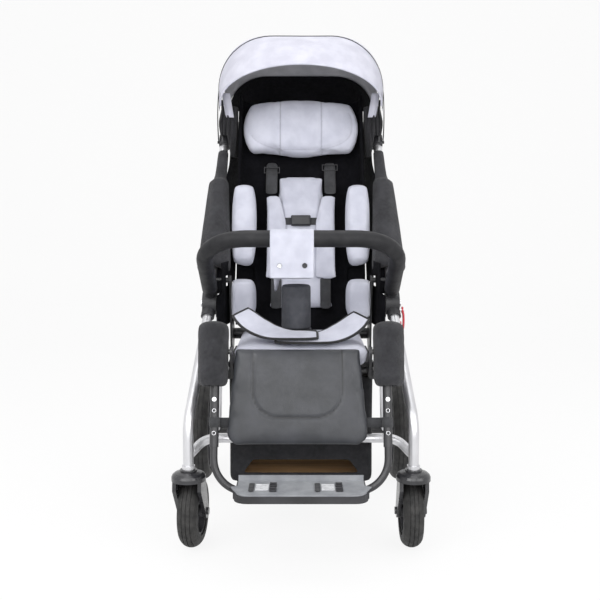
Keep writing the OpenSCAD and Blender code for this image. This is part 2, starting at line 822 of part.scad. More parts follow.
module rear_axle() {
    color(dark) centred() {
        difference() {
            union() {
                cross_rod(-axle_half, axle_half, wheelbase, rear_r, axle_r);
                both_sides() side_plate(brake_bracket_x, brake_bracket_x + 8) union() {
                    translate([brake_y, brake_z]) circle(14);
                    polygon([[wheelbase, rear_r + axle_r - 2], [wheelbase + axle_r - 2, rear_r],
                        [brake_y + 9, brake_z - 10], [brake_y - 9, brake_z + 10]]);
                }
            }
            cross_rod(-axle_half, axle_half, brake_y, brake_z, brake_r + fit);
        }
        both_sides() {
            cross_rod(axle_half, rear_x - 24 - gap, wheelbase, rear_r, axle_pin_r + 4);
            cross_rod(axle_half, hub_face + gap + 7, wheelbase, rear_r, axle_pin_r);
            cross_rod(hub_face + gap, hub_face + gap + 7, wheelbase, rear_r, axle_pin_r + 4);
        }
    }
}

module brake_pedal() {
    color(black) centred() {
        cross_rod(-brake_bracket_x - 24, brake_bracket_x + 24, brake_y, brake_z, brake_r);
        translate([-55, brake_y, brake_z - 4]) cube([110, 62, 8]);
        both_sides() cross_rod(brake_bracket_x + 24, brake_bracket_x + 32, brake_y, brake_z, 11);
    }
}

rear_rim_r = rear_r - 32;

module rear_rim(side) {
    color([0.3, 0.3, 0.32]) centred() on_side(side) translate([rear_x, wheelbase, rear_r]) rotate([0, 90, 0])
        difference() {
            union() {
                difference() {
                    translate([0, 0, -21]) cylinder(h = 42, r = rear_rim_r);
                    translate([0, 0, -22]) cylinder(h = 44, r = rear_rim_r - 9);
                }
                translate([0, 0, -24]) cylinder(h = 24 + hub_face - rear_x, r = 24);
                for (k = [0 : 5]) rotate(60 * k) translate([15, -8, -9]) cube([rear_rim_r - 20, 16, 18]);
            }
            translate([0, 0, -30]) cylinder(h = 70, r = axle_pin_r + fit);
        }
}

// Crowned tyre round the X axis with grooves in its tread
module tyre(r, w, rim, crown, grooves) {
    rotate([0, 90, 0]) rotate_extrude() difference() {
        intersection() {
            translate([r - crown, 0]) circle(crown);
            translate([rim, -w / 2]) square([r, w]);
        }
        for (k = grooves) translate([r - crown + sqrt(crown * crown - k * k) - 2, k - 1.2]) square([6, 2.4]);
    }
}

module rear_tyre(side) {
    color(black) centred() on_side(side) translate([rear_x, wheelbase, rear_r])
        tyre(rear_r, rear_w, rear_rim_r, rear_w / 2 + 4, [-12, 0, 12]);
}

// Casters: the left one stands slightly turned
fork_top_z = stem_z - gap;
crown_z = caster_d + 3;
fork_in = caster_w / 2 + 2;
fork_t = 9;
caster_rim_r = caster_r - 29;

module caster_place(side) {
    centred() translate([side * stem_x, 0, 0]) rotate(side < 0 ? caster_yaw : 0) children();
}

module caster_fork(side) {
    color(black) caster_place(side) {
        translate([0, 0, crown_z]) rotate_extrude() polygon([[0, 0], [41, 0], [41, 9], [38.5, 14.5],
            [33, 19], [24, 22], [20, 22.5], [20, fork_top_z - crown_z], [0, fork_top_z - crown_z]]);
        translate([0, 0, crown_z]) cylinder(h = stem_z + stem_pin_len - crown_z, r = stem_pin_r);
        for (x = [-fork_in - fork_t, fork_in]) side_plate(x, x + fork_t) union() {
            translate([trail, caster_r]) circle(17);
            polygon([[-20, crown_z + 8], [20, crown_z + 8], [33, crown_z - 8],
                [trail + 16, caster_r + 5], [trail - 16, caster_r - 5], [-24, crown_z - 22]]);
        }
        cross_rod(-fork_in - fork_t - 4, fork_in + fork_t + 4, trail, caster_r, axle_pin_r - 1);
        for (x = [-fork_in - fork_t - 4, fork_in + fork_t]) cross_rod(x, x + 4, trail, caster_r, 9);
    }
}

module caster_hub(side) {
    color([0.35, 0.35, 0.37]) caster_place(side) translate([0, trail, caster_r]) rotate([0, 90, 0])
        difference() {
        union() {
            difference() {
                translate([0, 0, -20]) cylinder(h = 40, r = caster_rim_r);
                translate([0, 0, -21]) cylinder(h = 42, r = caster_rim_r - 7);
            }
            translate([0, 0, -7]) cylinder(h = 14, r = caster_rim_r - 3);
            translate([0, 0, -fork_in + gap]) cylinder(h = 2 * fork_in - 2 * gap, r = 15);
        }
        translate([0, 0, -40]) cylinder(h = 80, r = axle_pin_r - 1 + fit);
    }
}

module caster_tyre(side) {
    color(black) caster_place(side) translate([0, trail, caster_r])
        tyre(caster_r, caster_w, caster_rim_r, caster_w / 2 + 3, [-10, 0, 10]);
}

// Back frame: a bent tube behind the padded shell, turning on the recline pins
upright_x = back_half - 20;
upright_r = 8;
recline_inner = upright_x + 10;

module back_frame() {
    y = upright_r;
    color(dark) centred() on_back() difference() {
        union() {
            tube_path([[-upright_x, y, 0], [-upright_x, y, back_frame_len], [upright_x, y, back_frame_len],
                [upright_x, y, 0]], upright_r, 60);
            for (z = [70, 330]) rod([-upright_x, y, z], [upright_x, y, z], 7);
            both_sides() cross_rod(upright_x - 8, side_plate_in - gap, 0, 0, 15);
        }
        both_sides() cross_rod(recline_inner - gap, side_plate_in + 1, 0, 0, recline_pin_r + fit);
    }
}

// Black padded shell whose sides curl forward
shell_t = 10;
shell_curl = 50;
shell_low = -8;
shell_wing = 24;
shell_wing_low = 176;

module shell_section() {
    flat = back_half - shell_curl;
    translate([-flat, -shell_t - seat_gap]) square([2 * flat, shell_t]);
    both_sides() {
        translate([flat, -shell_curl - seat_gap]) intersection() {
            difference() {
                circle(shell_curl);
                circle(shell_curl - shell_t);
            }
            square(shell_curl);
        }
        translate([back_half - shell_t, -shell_curl - seat_gap - shell_wing]) square([shell_t, shell_wing]);
    }
}

module back_shell() {
    flat = back_half - shell_curl;
    color(black) centred() on_back() difference() {
        translate([0, 0, shell_low]) linear_extrude(back_len - shell_low) shell_section();
        both_sides() translate([flat - 2, -shell_curl - shell_wing - 1, shell_low - 1])
            cube([shell_curl + 3, shell_curl + shell_wing + 2, shell_wing_low - shell_low + 1]);
    }
}

shell_front = -shell_t - 2 * seat_gap;
back_pad_t = 28;
back_pad_low = 58;
back_pad_high = 455;

module back_pad() {
    color(light) centred() on_back() facing(0, shell_front, (back_pad_low + back_pad_high) / 2)
        pad([186, back_pad_high - back_pad_low, back_pad_t], 8, top_w = 124, round = 0.06, draw = 0.01,
            n = [8, 10]);
}

side_pad_in = back_half - 56;
side_pad_low = 178;
side_pad_high = 412;

module side_pads() {
    face_x = back_half - shell_t - seat_gap;
    color(light) centred() on_back() both_sides()
        translate([face_x, -shell_curl - 34, (side_pad_low + side_pad_high) / 2]) rotate([90, 0, -90])
            pad([64, side_pad_high - side_pad_low, face_x - side_pad_in], 9, round = 0.5, n = [8, 10]);
}

shoulder_pad_x = 77;
shoulder_pad_w = 44;
shoulder_pad_front = shell_front - back_pad_t - seat_gap;
shoulder_pad_low = 140;
shoulder_pad_high = 392;

module shoulder_pads() {
    color(light) centred() on_back() both_sides()
        facing(shoulder_pad_x, shoulder_pad_front, (shoulder_pad_low + shoulder_pad_high) / 2)
            pad([shoulder_pad_w, shoulder_pad_high - shoulder_pad_low, 13], 4, round = 0.15, draw = 0.01,
                n = [6, 10]);
}

strap_w = 30;
strap_t = 2.5;
strap_top = 502;
strap_low = shoulder_pad_high - 0.95;
chest_z = 302;

chest_half = shoulder_pad_x - shoulder_pad_w / 2;

module harness_straps() {
    x = 84;
    color(dark) centred() on_back() {
        both_sides() translate([x - strap_w / 2, 0, 0]) side_plate(0, strap_w) polygon([
            [shell_front, strap_top], [shell_front - strap_t, strap_top],
            [shoulder_pad_front - 4 - strap_t, shoulder_pad_high + 5],
            [shoulder_pad_front - 4 - strap_t, strap_low],
            [shoulder_pad_front - 4, strap_low], [shoulder_pad_front - 4, shoulder_pad_high + 5],
            [shell_front, strap_top - 8]]);
        translate([-chest_half, shoulder_pad_front - strap_t - 1, chest_z])
            cube([2 * chest_half, strap_t, 20]);
    }
}

module chest_buckle() {
    y = shoulder_pad_front - strap_t - 1 - seat_gap;
    color(black) centred() on_back() {
        translate([-28, y - 9, chest_z - 6]) cube([56, 9, 32]);
        translate([-22, y - 13, chest_z]) cube([44, 4, 20]);
    }
}

headrest_t = 11;
headrest_w = 160;
head_low = 506;

module headrest_plate() {
    color(black) centred() on_back() translate([-headrest_w / 2, shell_front - headrest_t, head_low + 30])
        cube([headrest_w, headrest_t, head_h - 60]);
}

module head_cushion() {
    color(light) centred() on_back() facing(0, shell_front - headrest_t - seat_gap, head_low + head_h / 2)
        pad([head_w, head_h, head_t], 30, round = 0.55, draw = 0.02,
            channels = [[-0.37, 8, 0.1], [0.37, 8, 0.1]], n = [20, 10]);
}

// Leg rest: perforated hanger tubes turn on the knee pins and guide the footrest tubes
hanger_top = 40;
hanger_low = -222;
bore_top = -70;
boss_r = 12;
boss_in = plate_in + knee_plate_t + 9;
button_z = -112;
button_r = 5;
button_out = 2.5;
button_len = 9;
hole_r = 3.2;
hole_pitch = 26;

module hangers() {
    color(dark) centred() on_leg() both_sides() difference() {
        union() {
            translate([hanger_x, 0, hanger_low]) cylinder(h = hanger_top - hanger_low, r = hanger_r);
            cross_rod(boss_in, hanger_x, 0, 0, boss_r);
        }
        translate([hanger_x, 0, hanger_low - 1]) cylinder(h = bore_top - hanger_low + 1, r = foot_r + fit);
        cross_rod(boss_in - 1, knee_pin_end + gap, 0, 0, knee_pin_r + fit);
        translate([hanger_x, 0, button_z]) rotate([90, 0, 0]) cylinder(h = 2 * hanger_r, r = button_r + fit);
        for (k = [1 : 3]) translate([hanger_x, 0, button_z - hole_pitch * k]) rotate([90, 0, 0])
            cylinder(h = 2 * hanger_r, r = hole_r);
    }
}

// Padded sleeves over the tops of the hangers
sleeve_low = -84;

module hanger_pads() {
    top = hanger_top + 14;
    low = sleeve_low;
    function pad_r(t) = hanger_pad_r * pow(1 - pow(abs(2 * t - 1), 7), 1 / 7);
    profile = [for (k = [0 : 18]) let (t = k / 18, z = low + (top - low) * t)
        if (k < 18 && pad_r(t) > hanger_r + 3) [pad_r(t), z]];
    color(dark) centred() on_leg() both_sides() difference() {
        translate([plate_in + knee_plate_t + 2 * gap + hanger_pad_r, 0, 0]) rotate_extrude()
            polygon(concat([[0, low + 3]], profile, [[0, top]]));
        translate([hanger_x, 0, low]) cylinder(h = hanger_top + seat_gap - low, r = hanger_r);
        cross_rod(boss_in - 20, hanger_x, 0, 0, boss_r + seat_gap);
    }
}

calf_top_w = 2 * (hanger_x - 45.5);
calf_low_w = 2 * (hanger_x - 32);

module calf_panel() {
    half_len = (calf_len + calf_t / 2) / 2;
    color(leather) centred() on_leg() facing(0, calf_t / 2, calf_t / 2 - half_len)
        pad([calf_low_w, 2 * half_len, calf_t], 6, top_w = calf_top_w, round = 0.1, draw = 0.008,
            n = [12, 10]);
}

// Fabric loops round the hangers, with tabs sewn to the back of the calf panel
loop_z = -165;
loop_h = 24;
tab_in = hanger_x - 74;
tab_t = 2.5;

module calf_straps() {
    back = calf_t / 2 + seat_gap;
    color(dark) centred() on_leg() both_sides() translate([0, 0, loop_z - loop_h / 2]) linear_extrude(loop_h)
        difference() {
            union() {
                translate([hanger_x, 0]) circle(hanger_r + 3);
                translate([tab_in, back]) square([hanger_x - tab_in, tab_t]);
            }
            translate([hanger_x, 0]) circle(hanger_r + fit);
        }
}

// Footrest tubes, flattened in front at the top so that the buttons clear them
tube_top = -80;
foot_end_x = hanger_x - foot_bend_r - 37;
flat_low = button_z - button_r - 2;

module footrest_tubes() {
    color(black) centred() on_leg() both_sides() difference() {
        tube_path([[hanger_x, 0, tube_top], [hanger_x, 0, -foot_drop], [foot_end_x, 0, -foot_drop]],
            foot_r, foot_bend_r);
        translate([hanger_x - 2 * foot_r, -2 * foot_r, flat_low])
            cube([4 * foot_r, 2 * foot_r - 0.5, tube_top - flat_low + 1]);
    }
}

module snap_buttons() {
    color(silver) centred() on_leg() both_sides()
        translate([hanger_x, button_len - hanger_r - button_out, button_z]) rotate([90, 0, 0])
            cylinder(h = button_len, r = button_r);
}

// Footplate: rounded plate with a front lip, turning on the ends of the footrest tubes
lug_in = foot_end_x + 5;
lug_out = foot_end_x + 30;
plate_neck = hanger_x - 54;
plate_step = 20;

module plate_outline(inset) {
    r = 30;
    rear = plate_rear - inset;
    front = -plate_front + inset;
    wide = plate_rear_w / 2 - inset;
    narrow = plate_front_w / 2 - inset;
    function corner(s) = [for (k = [0 : 6]) let (a = 90 * k / 6)
        [s * (narrow - r + r * cos(a)), front + r - r * sin(a)]];
    left = corner(-1);
    neck = plate_neck - inset;
    shoulder = -plate_step - 6;
    edge = wide - (wide - narrow) * (rear - shoulder) / (rear - front);
    polygon(concat([[-neck, rear], [-neck, -plate_step - inset], [-edge, shoulder - inset]], left,
        [for (k = [6 : -1 : 0]) corner(1)[k]],
        [[edge, shoulder - inset], [neck, -plate_step - inset], [neck, rear]]));
}

module footplate_base() {
    color(black) centred() translate(foot_axis) difference() {
        union() {
            translate([0, 0, plate_rise]) linear_extrude(plate_t) plate_outline(0);
            translate([0, 0, plate_rise + plate_t - lip_h]) intersection() {
                linear_extrude(lip_h) difference() {
                    plate_outline(0);
                    plate_outline(4);
                }
                translate([-plate_rear_w, -plate_front - 1, 0]) cube([2 * plate_rear_w, 40, lip_h]);
            }
            both_sides() {
                cross_rod(lug_in, lug_out, 0, 0, foot_r + 4);
                translate([lug_in, -8, 0]) cube([lug_out - lug_in, 16, plate_rise + 1]);
            }
        }
        both_sides() cross_rod(lug_in - 1, lug_out + 1, 0, 0, foot_r + fit);
    }
}

tread_z = plate_rise + plate_t;

module footplate_tread() {
    color([0.62, 0.64, 0.66]) centred() translate(foot_axis) {
        translate([0, 0, tread_z]) linear_extrude(tread_t) plate_outline(3);
        translate([3 - plate_neck, plate_rear - 7, tread_z + tread_t]) cube([2 * plate_neck - 6, 4, 12]);
    }
}

module foot_straps() {
    z = tread_z + tread_t + seat_gap;
    color(black) centred() translate(foot_axis) for (x = [117 - hanger_x, hanger_x - 138]) {
        translate([x - 34, -70, z]) cube([14, 66, 3]);
        translate([x + 14, -68, z]) cube([16, 24, 5]);
        translate([x + 14, -34, z]) cube([16, 24, 5]);
    }
}

// Bumper bar: a bent steel core in foam, lifted out of its sockets
module bumper_path(start, r) {
    a = socket + bumper_dir * start;
    b = bumper_front;
    tube_path([a, b, [-b.x, b.y, b.z], [-a.x, a.y, a.z]], r, bumper_r);
}

module bumper_bar() {
    color(dark) centred() bumper_path(socket_seat + 1, bar_r);
}

module bumper_foam() {
    color(black) centred() difference() {
        bumper_path(socket_mouth + 1, foam_r);
        bumper_path(socket_seat + 1, bar_r);
    }
}

flap_x = -21;
flap_t = 3;
flap_drop = 88;

module flap_outline() {
    translate([0, 0]) difference() {
        circle(foam_r + seat_gap + flap_t);
        circle(foam_r + seat_gap);
    }
    translate([-foam_r - seat_gap - flap_t, -flap_drop]) square([flap_t, flap_drop]);
    translate([-foam_r - seat_gap - flap_t - 2, -flap_drop - 4]) square([flap_t + 4, 16]);
}

module bumper_flap() {
    color(light) centred() translate([0, bumper_front.y, bumper_front.z])
        side_plate(flap_x - flap_w / 2, flap_x + flap_w / 2) flap_outline();
}

// Push handle: a bent bar with a foam grip, turning on the hub pins
handle_end = [0, handle_len * cos(handle_tilt), handle_len * sin(handle_tilt)];

module push_handle() {
    e = handle_end;
    color(black) centred() translate([0, hub_y, hub_z]) difference() {
        union() {
            both_sides() cross_rod(arm_x - hub_w / 2, arm_x + hub_w / 2, 0, 0, hub_r);
            tube_path([[-arm_x, 0, 0], [-arm_x, e.y, e.z], [arm_x, e.y, e.z], [arm_x, 0, 0]],
                handle_r, handle_bend);
        }
        both_sides() cross_rod(arm_x - hub_w / 2 + 3 - gap, hub_in + 1, 0, 0, handle_pin_r + fit);
    }
}

module handle_grip() {
    color(black) centred() translate([0, hub_y + handle_end.y, hub_z + handle_end.z]) difference() {
        cross_rod(-grip_len / 2, grip_len / 2, 0, 0, grip_r);
        cross_rod(-grip_len, grip_len, 0, 0, handle_r + fit);
    }
}

side_tube(-1);  // side_tube_left
side_tube(1);  // side_tube_right
upper_tube(-1);  // upper_tube_left
upper_tube(1);  // upper_tube_right
frame_hinge(-1);  // frame_hinge_left
frame_hinge(1);  // frame_hinge_right
front_cross_tube();
frame_bolts();
seat_frame();
seat_base();
seat_cushion();
pommel();
pommel_base();
thigh_wings();
hip_pads();
arm_pads();
basket();
basket_board();
canopy_clamps();
canopy_rear_panel();
canopy_curtain();
rear_leg(-1);  // rear_leg_left
rear_leg(1);  // rear_leg_right
rear_axle();
brake_pedal();
rear_rim(-1);  // rear_rim_left
rear_rim(1);  // rear_rim_right
rear_tyre(-1);  // rear_tyre_left
rear_tyre(1);  // rear_tyre_right
caster_fork(-1);  // caster_fork_left
caster_fork(1);  // caster_fork_right
caster_hub(-1);  // caster_hub_left
caster_hub(1);  // caster_hub_right
caster_tyre(-1);  // caster_tyre_left
caster_tyre(1);  // caster_tyre_right
back_frame();
back_shell();
back_pad();
side_pads();
harness_straps();
shoulder_pads();
chest_buckle();
head_cushion();
headrest_plate();
hangers();
hanger_pads();
calf_panel();
calf_straps();
footrest_tubes();
snap_buttons();
footplate_base();
footplate_tread();
foot_straps();
bumper_bar();
bumper_foam();
bumper_flap();
canopy_visor();
push_handle();
handle_grip();
lock_lever();
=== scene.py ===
import math

import bmesh
import bpy
import numpy as np
from mathutils import Matrix, Vector


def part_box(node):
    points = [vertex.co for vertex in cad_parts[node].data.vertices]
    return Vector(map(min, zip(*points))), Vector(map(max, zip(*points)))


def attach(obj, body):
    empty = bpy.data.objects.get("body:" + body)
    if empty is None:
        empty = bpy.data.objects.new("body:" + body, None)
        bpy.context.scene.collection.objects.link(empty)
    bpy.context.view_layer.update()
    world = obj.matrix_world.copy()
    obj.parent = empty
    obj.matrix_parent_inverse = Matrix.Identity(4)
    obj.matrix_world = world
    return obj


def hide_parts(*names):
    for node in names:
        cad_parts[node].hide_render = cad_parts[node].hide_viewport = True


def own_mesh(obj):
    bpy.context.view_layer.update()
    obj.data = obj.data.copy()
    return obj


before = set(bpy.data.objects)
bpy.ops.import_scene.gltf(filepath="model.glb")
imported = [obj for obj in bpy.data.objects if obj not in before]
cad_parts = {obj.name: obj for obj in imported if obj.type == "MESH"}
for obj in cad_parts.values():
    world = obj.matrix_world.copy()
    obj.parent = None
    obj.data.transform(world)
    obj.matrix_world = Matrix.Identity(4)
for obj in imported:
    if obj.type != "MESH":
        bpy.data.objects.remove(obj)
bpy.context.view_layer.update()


# Side frame: bent side tubes, upper tubes with handle hubs, front cross tube and rear legs.
# Drawn aluminium tube, bent, satin anodised, clamped in the fold housings.
def plain_finish(name, colour, rough, metal=0.0):
    mat = bpy.data.materials.new(name)
    mat.use_nodes = True
    shader = mat.node_tree.nodes["Principled BSDF"]
    shader.inputs["Base Color"].default_value = (*colour, 1.0)
    shader.inputs["Roughness"].default_value = rough
    shader.inputs["Metallic"].default_value = metal
    return mat, mat.node_tree, shader


def noise_on(tree, scale, detail, stretch=(1, 1, 1)):
    where = tree.nodes.new("ShaderNodeTexCoord")
    turn = tree.nodes.new("ShaderNodeMapping")
    turn.inputs["Scale"].default_value = stretch
    noise = tree.nodes.new("ShaderNodeTexNoise")
    noise.inputs["Scale"].default_value = scale
    noise.inputs["Detail"].default_value = detail
    tree.links.new(where.outputs["Object"], turn.inputs["Vector"])
    tree.links.new(turn.outputs["Vector"], noise.inputs["Vector"])
    return noise.outputs["Fac"]


def tint_between(tree, shader, factor, low, high, start=0.35, end=0.65):
    ramp = tree.nodes.new("ShaderNodeValToRGB")
    ramp.color_ramp.elements[0].position = start
    ramp.color_ramp.elements[1].position = end
    ramp.color_ramp.elements[0].color = (*low, 1.0)
    ramp.color_ramp.elements[1].color = (*high, 1.0)
    tree.links.new(factor, ramp.inputs["Fac"])
    tree.links.new(ramp.outputs["Color"], shader.inputs["Base Color"])
    return ramp


def rough_between(tree, shader, factor, low, high):
    span = tree.nodes.new("ShaderNodeMapRange")
    span.inputs["From Min"].default_value = 0.3
    span.inputs["From Max"].default_value = 0.7
    span.inputs["To Min"].default_value = low
    span.inputs["To Max"].default_value = high
    tree.links.new(factor, span.inputs["Value"])
    tree.links.new(span.outputs["Result"], shader.inputs["Roughness"])


def raised_by(tree, shader, height, distance, strength=1.0):
    bump = tree.nodes.new("ShaderNodeBump")
    bump.inputs["Distance"].default_value = distance
    bump.inputs["Strength"].default_value = strength
    tree.links.new(height, bump.inputs["Height"])
    tree.links.new(bump.outputs["Normal"], shader.inputs["Normal"])


def grained(*plain, tint, wear, grain):
    """A finish whose colour, roughness and surface follow noise: each gives the noise and two values."""
    mat, tree, shader = plain_finish(*plain)
    tint_between(tree, shader, noise_on(tree, *tint[0]), *tint[1:])
    rough_between(tree, shader, noise_on(tree, *wear[0]), *wear[1:])
    raised_by(tree, shader, noise_on(tree, *grain[0]), *grain[1:])
    return mat, tree, shader


def clad(mat, *names):
    for name in names:
        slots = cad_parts[name].data.materials
        slots.clear()
        slots.append(mat)


silver, *_ = grained("satin_silver", (0.66, 0.66, 0.68), 0.33, 0.9,
    tint=((9, 3), (0.60, 0.60, 0.62), (0.72, 0.72, 0.74)),
    wear=((60, 4, (1, 1, 0.12)), 0.26, 0.42), grain=((1400, 2, (1, 1, 0.05)), 0.0002, 0.25))
clad(silver, "side_tube_left", "side_tube_right", "upper_tube_left", "upper_tube_right",
     "front_cross_tube", "rear_leg_left", "rear_leg_right")


# Fold housings, canopy clamps, pommel foot, brake pedal and head rest slide.
# Moulded black nylon with a fine spark-eroded grain, bolted through the tubes.
black_nylon, *_ = grained("black_nylon", (0.022, 0.022, 0.025), 0.5,
    tint=((14, 4), (0.016, 0.016, 0.018), (0.032, 0.032, 0.036)),
    wear=((45, 5), 0.42, 0.60), grain=((2200, 3), 0.0003, 0.5))
clad(black_nylon, "frame_hinge_left", "frame_hinge_right", "canopy_clamps", "pommel_base",
     "brake_pedal", "headrest_plate", "seat_base")


# Pivot bolts and the snap buttons of the telescoping leg rest.
# Turned and plated steel, left bright.
bright_steel, tree, shader = plain_finish("bright_steel", (0.62, 0.62, 0.64), 0.22, 1.0)
rough_between(tree, shader, noise_on(tree, 260, 4), 0.14, 0.34)
raised_by(tree, shader, noise_on(tree, 1800, 2, (0.1, 1, 1)), 0.0002, 0.3)
clad(bright_steel, "frame_bolts", "snap_buttons")


# Seat frame, back frame, rear axle, hangers, footrest tubes, bumper core and push handle.
# Welded steel tube and plate with a satin black powder coat.
powder_coat, tree, shader = grained("black_powder_coat", (0.02, 0.02, 0.022), 0.4,
    tint=((20, 3), (0.015, 0.015, 0.017), (0.028, 0.028, 0.031)),
    wear=((90, 4), 0.32, 0.50), grain=((900, 2), 0.0004, 0.35))
shader.inputs["Coat Weight"].default_value = 0.15
shader.inputs["Coat Roughness"].default_value = 0.3
clad(powder_coat, "seat_frame", "back_frame", "rear_axle", "hangers", "footrest_tubes",
     "bumper_bar", "push_handle")


# Wheels: tyres of grooved black rubber on moulded grey hubs and rims.
# The rubber is dusty in the grooves and the nylon slightly polished on its edges.
tyre_rubber, *_ = grained("tyre_rubber", (0.018, 0.018, 0.018), 0.72,
    tint=((55, 6), (0.012, 0.012, 0.012), (0.034, 0.033, 0.032)),
    wear=((120, 4), 0.62, 0.82), grain=((700, 4), 0.0006, 0.5))
clad(tyre_rubber, "rear_tyre_left", "rear_tyre_right", "caster_tyre_left", "caster_tyre_right")
wheel_grey, *_ = grained("wheel_grey", (0.055, 0.055, 0.06), 0.45,
    tint=((18, 4), (0.042, 0.042, 0.046), (0.072, 0.072, 0.078)),
    wear=((70, 4), 0.38, 0.55), grain=((1600, 3), 0.0003, 0.5))
clad(wheel_grey, "rear_rim_left", "rear_rim_right", "caster_hub_left", "caster_hub_right")


# Caster forks: glossy moulded nylon yokes with a round crown under the side tubes.
# Each turns on a steel stem pressed into its crown.
fork_gloss, tree, shader = grained("fork_gloss", (0.018, 0.018, 0.02), 0.3,
    tint=((16, 3), (0.013, 0.013, 0.015), (0.026, 0.026, 0.03)),
    wear=((60, 4), 0.24, 0.40), grain=((1300, 2), 0.0002, 0.4))
shader.inputs["Coat Weight"].default_value = 0.3
clad(fork_gloss, "caster_fork_left", "caster_fork_right")


# Basket board: a thin tan board that stiffens the floor of the basket.
# Plain plywood with a long grain.
tan_board, *_ = grained("tan_board", (0.66, 0.40, 0.18), 0.6,
    tint=((30, 6, (0.08, 1, 1)), (0.36, 0.19, 0.07), (0.58, 0.34, 0.15)),
    wear=((80, 4, (0.1, 1, 1)), 0.5, 0.7), grain=((260, 4, (0.05, 1, 1)), 0.0004, 0.4))
clad(tan_board, "basket_board")


# Basket: a sagging black bag under the seat with an arched slit low in front.
# Woven polyester, sewn at the corners, hung from the seat rails by its hem.
def joined(tree, operation, first, *others):
    for other in others:
        node = tree.nodes.new("ShaderNodeMath")
        node.operation = operation
        tree.links.new(first, node.inputs[0])
        tree.links.new(other, node.inputs[1])
        first = node.outputs[0]
    return first


def soft_cloth(name, dark, light, weave, sheen):
    mat, tree, shader = plain_finish(name, light, 0.9)
    shader.inputs["Sheen Weight"].default_value = sheen
    shader.inputs["Sheen Roughness"].default_value = 0.5
    tint_between(tree, shader, noise_on(tree, 24, 5), dark, light)
    where = tree.nodes.new("ShaderNodeTexCoord")
    threads = []
    for side in ("X", "Y", "Z"):
        wave = tree.nodes.new("ShaderNodeTexWave")
        wave.bands_direction = side
        wave.inputs["Scale"].default_value = weave
        wave.inputs["Distortion"].default_value = 0.6
        tree.links.new(where.outputs["Object"], wave.inputs["Vector"])
        threads.append(wave.outputs["Fac"])
    raised_by(tree, shader, joined(tree, "ADD", *threads), 0.0004, 0.5)
    rough_between(tree, shader, noise_on(tree, 110, 3), 0.80, 0.98)
    return mat


def link_mesh(mesh, name, mat, smooth=True):
    mesh.materials.clear()
    mesh.materials.append(mat)
    if smooth:
        for face in mesh.polygons:
            face.use_smooth = True
    piece = bpy.data.objects.new(name, mesh)
    bpy.context.scene.collection.objects.link(piece)
    return piece


def put_in_scene(bm, name, mat, smooth=True):
    mesh = bpy.data.meshes.new(name)
    bm.to_mesh(mesh)
    bm.free()
    return link_mesh(mesh, name, mat, smooth)


def thicken(piece, wall, offset=0):
    skin = piece.modifiers.new("wall", "SOLIDIFY")
    skin.thickness = wall
    skin.offset = offset
    return skin


def smooth_over(piece, levels=1):
    soft = piece.modifiers.new("soft", "SUBSURF")
    soft.levels = levels
    soft.render_levels = levels


def settle(piece, body, node=None):
    """Says which body a piece rides on and the solid that it stands for."""
    if node:
        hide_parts(node)
    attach(piece, body)


def face_out(bm):
    bmesh.ops.recalc_face_normals(bm, faces=bm.faces[:])


black_cloth = soft_cloth("black_cloth", (0.006, 0.006, 0.008), (0.013, 0.013, 0.016), 420, 0.05)
low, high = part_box("basket")
bm = bmesh.new()
bmesh.ops.create_cube(bm, size=1)
bmesh.ops.delete(bm, geom=[f for f in bm.faces if f.normal.z > 0.5], context="FACES_ONLY")
bmesh.ops.subdivide_edges(bm, edges=bm.edges[:], cuts=15, use_grid_fill=True)
bag_w, bag_d, bag_h = high[0] - low[0], high[1] - low[1], high[2] - low[2]
for v in bm.verts:
    u, d, h = v.co.x * 2, v.co.y + 0.5, v.co.z + 0.5
    rear_cut = max(0.0, (0.53 - h) / 0.53) * 0.13
    y = d * (1 - rear_cut)
    belly = math.sin(math.pi * h) * (1 - abs(u) ** 3 if abs(u) < 0.999 else 1) * 0.006
    side = 1 - 0.035 * math.sin(math.pi * h) * math.sin(math.pi * d)
    v.co = Vector((u * bag_w / 2 * side * (0.985 if h < 0.04 else 1.0), low[1] + 0.002 + y * (bag_d - 0.004),
                   low[2] + 0.002 + h * (bag_h - 0.004)))
    if d > 0.99:
        v.co.y -= belly
slit_low, slit_high = low[2] + 0.026, low[2] + 0.058
slit_half, slit_slope, front_wall = 0.141, 0.7, low[1] + 0.012
cuts = [((0, 0, slit_low), (0, 0, 1)), ((0, 0, slit_high), (0, 0, 1))]
cuts += [((side * slit_half, 0, slit_low), (side, 0, slit_slope)) for side in (-1, 1)]
for spot, way in cuts:
    wall = [f for f in bm.faces if f.calc_center_median().y < front_wall]
    near = set(wall) | {e for f in wall for e in f.edges} | {v for f in wall for v in f.verts}
    bmesh.ops.bisect_plane(bm, geom=list(near), plane_co=spot, plane_no=way)
gone = []
for f in bm.faces:
    c = f.calc_center_median()
    half_here = slit_half - (c.z - slit_low) * slit_slope
    if c.y < front_wall and slit_low < c.z < slit_high and abs(c.x) < half_here:
        gone.append(f)
bmesh.ops.delete(bm, geom=gone, context="FACES")
face_out(bm)
basket = put_in_scene(bm, "basket_bag", black_cloth)
thicken(basket, 0.0025, -1)
smooth_over(basket)
settle(basket, "chassis", "basket")


# Seat cushion: a firm foam block in a light knitted cover on the seat board.
# The cover is sewn round its edges and fixed to the board by touch tape.
def shift_all(bm, matrix):
    bmesh.ops.transform(bm, matrix=matrix, verts=bm.verts[:])


def cut_across(bm, axis, count):
    long_edges = [e for e in bm.edges if abs((e.verts[0].co - e.verts[1].co)[axis]) > 0.1]
    bmesh.ops.subdivide_edges(bm, edges=long_edges, cuts=count, use_grid_fill=True)


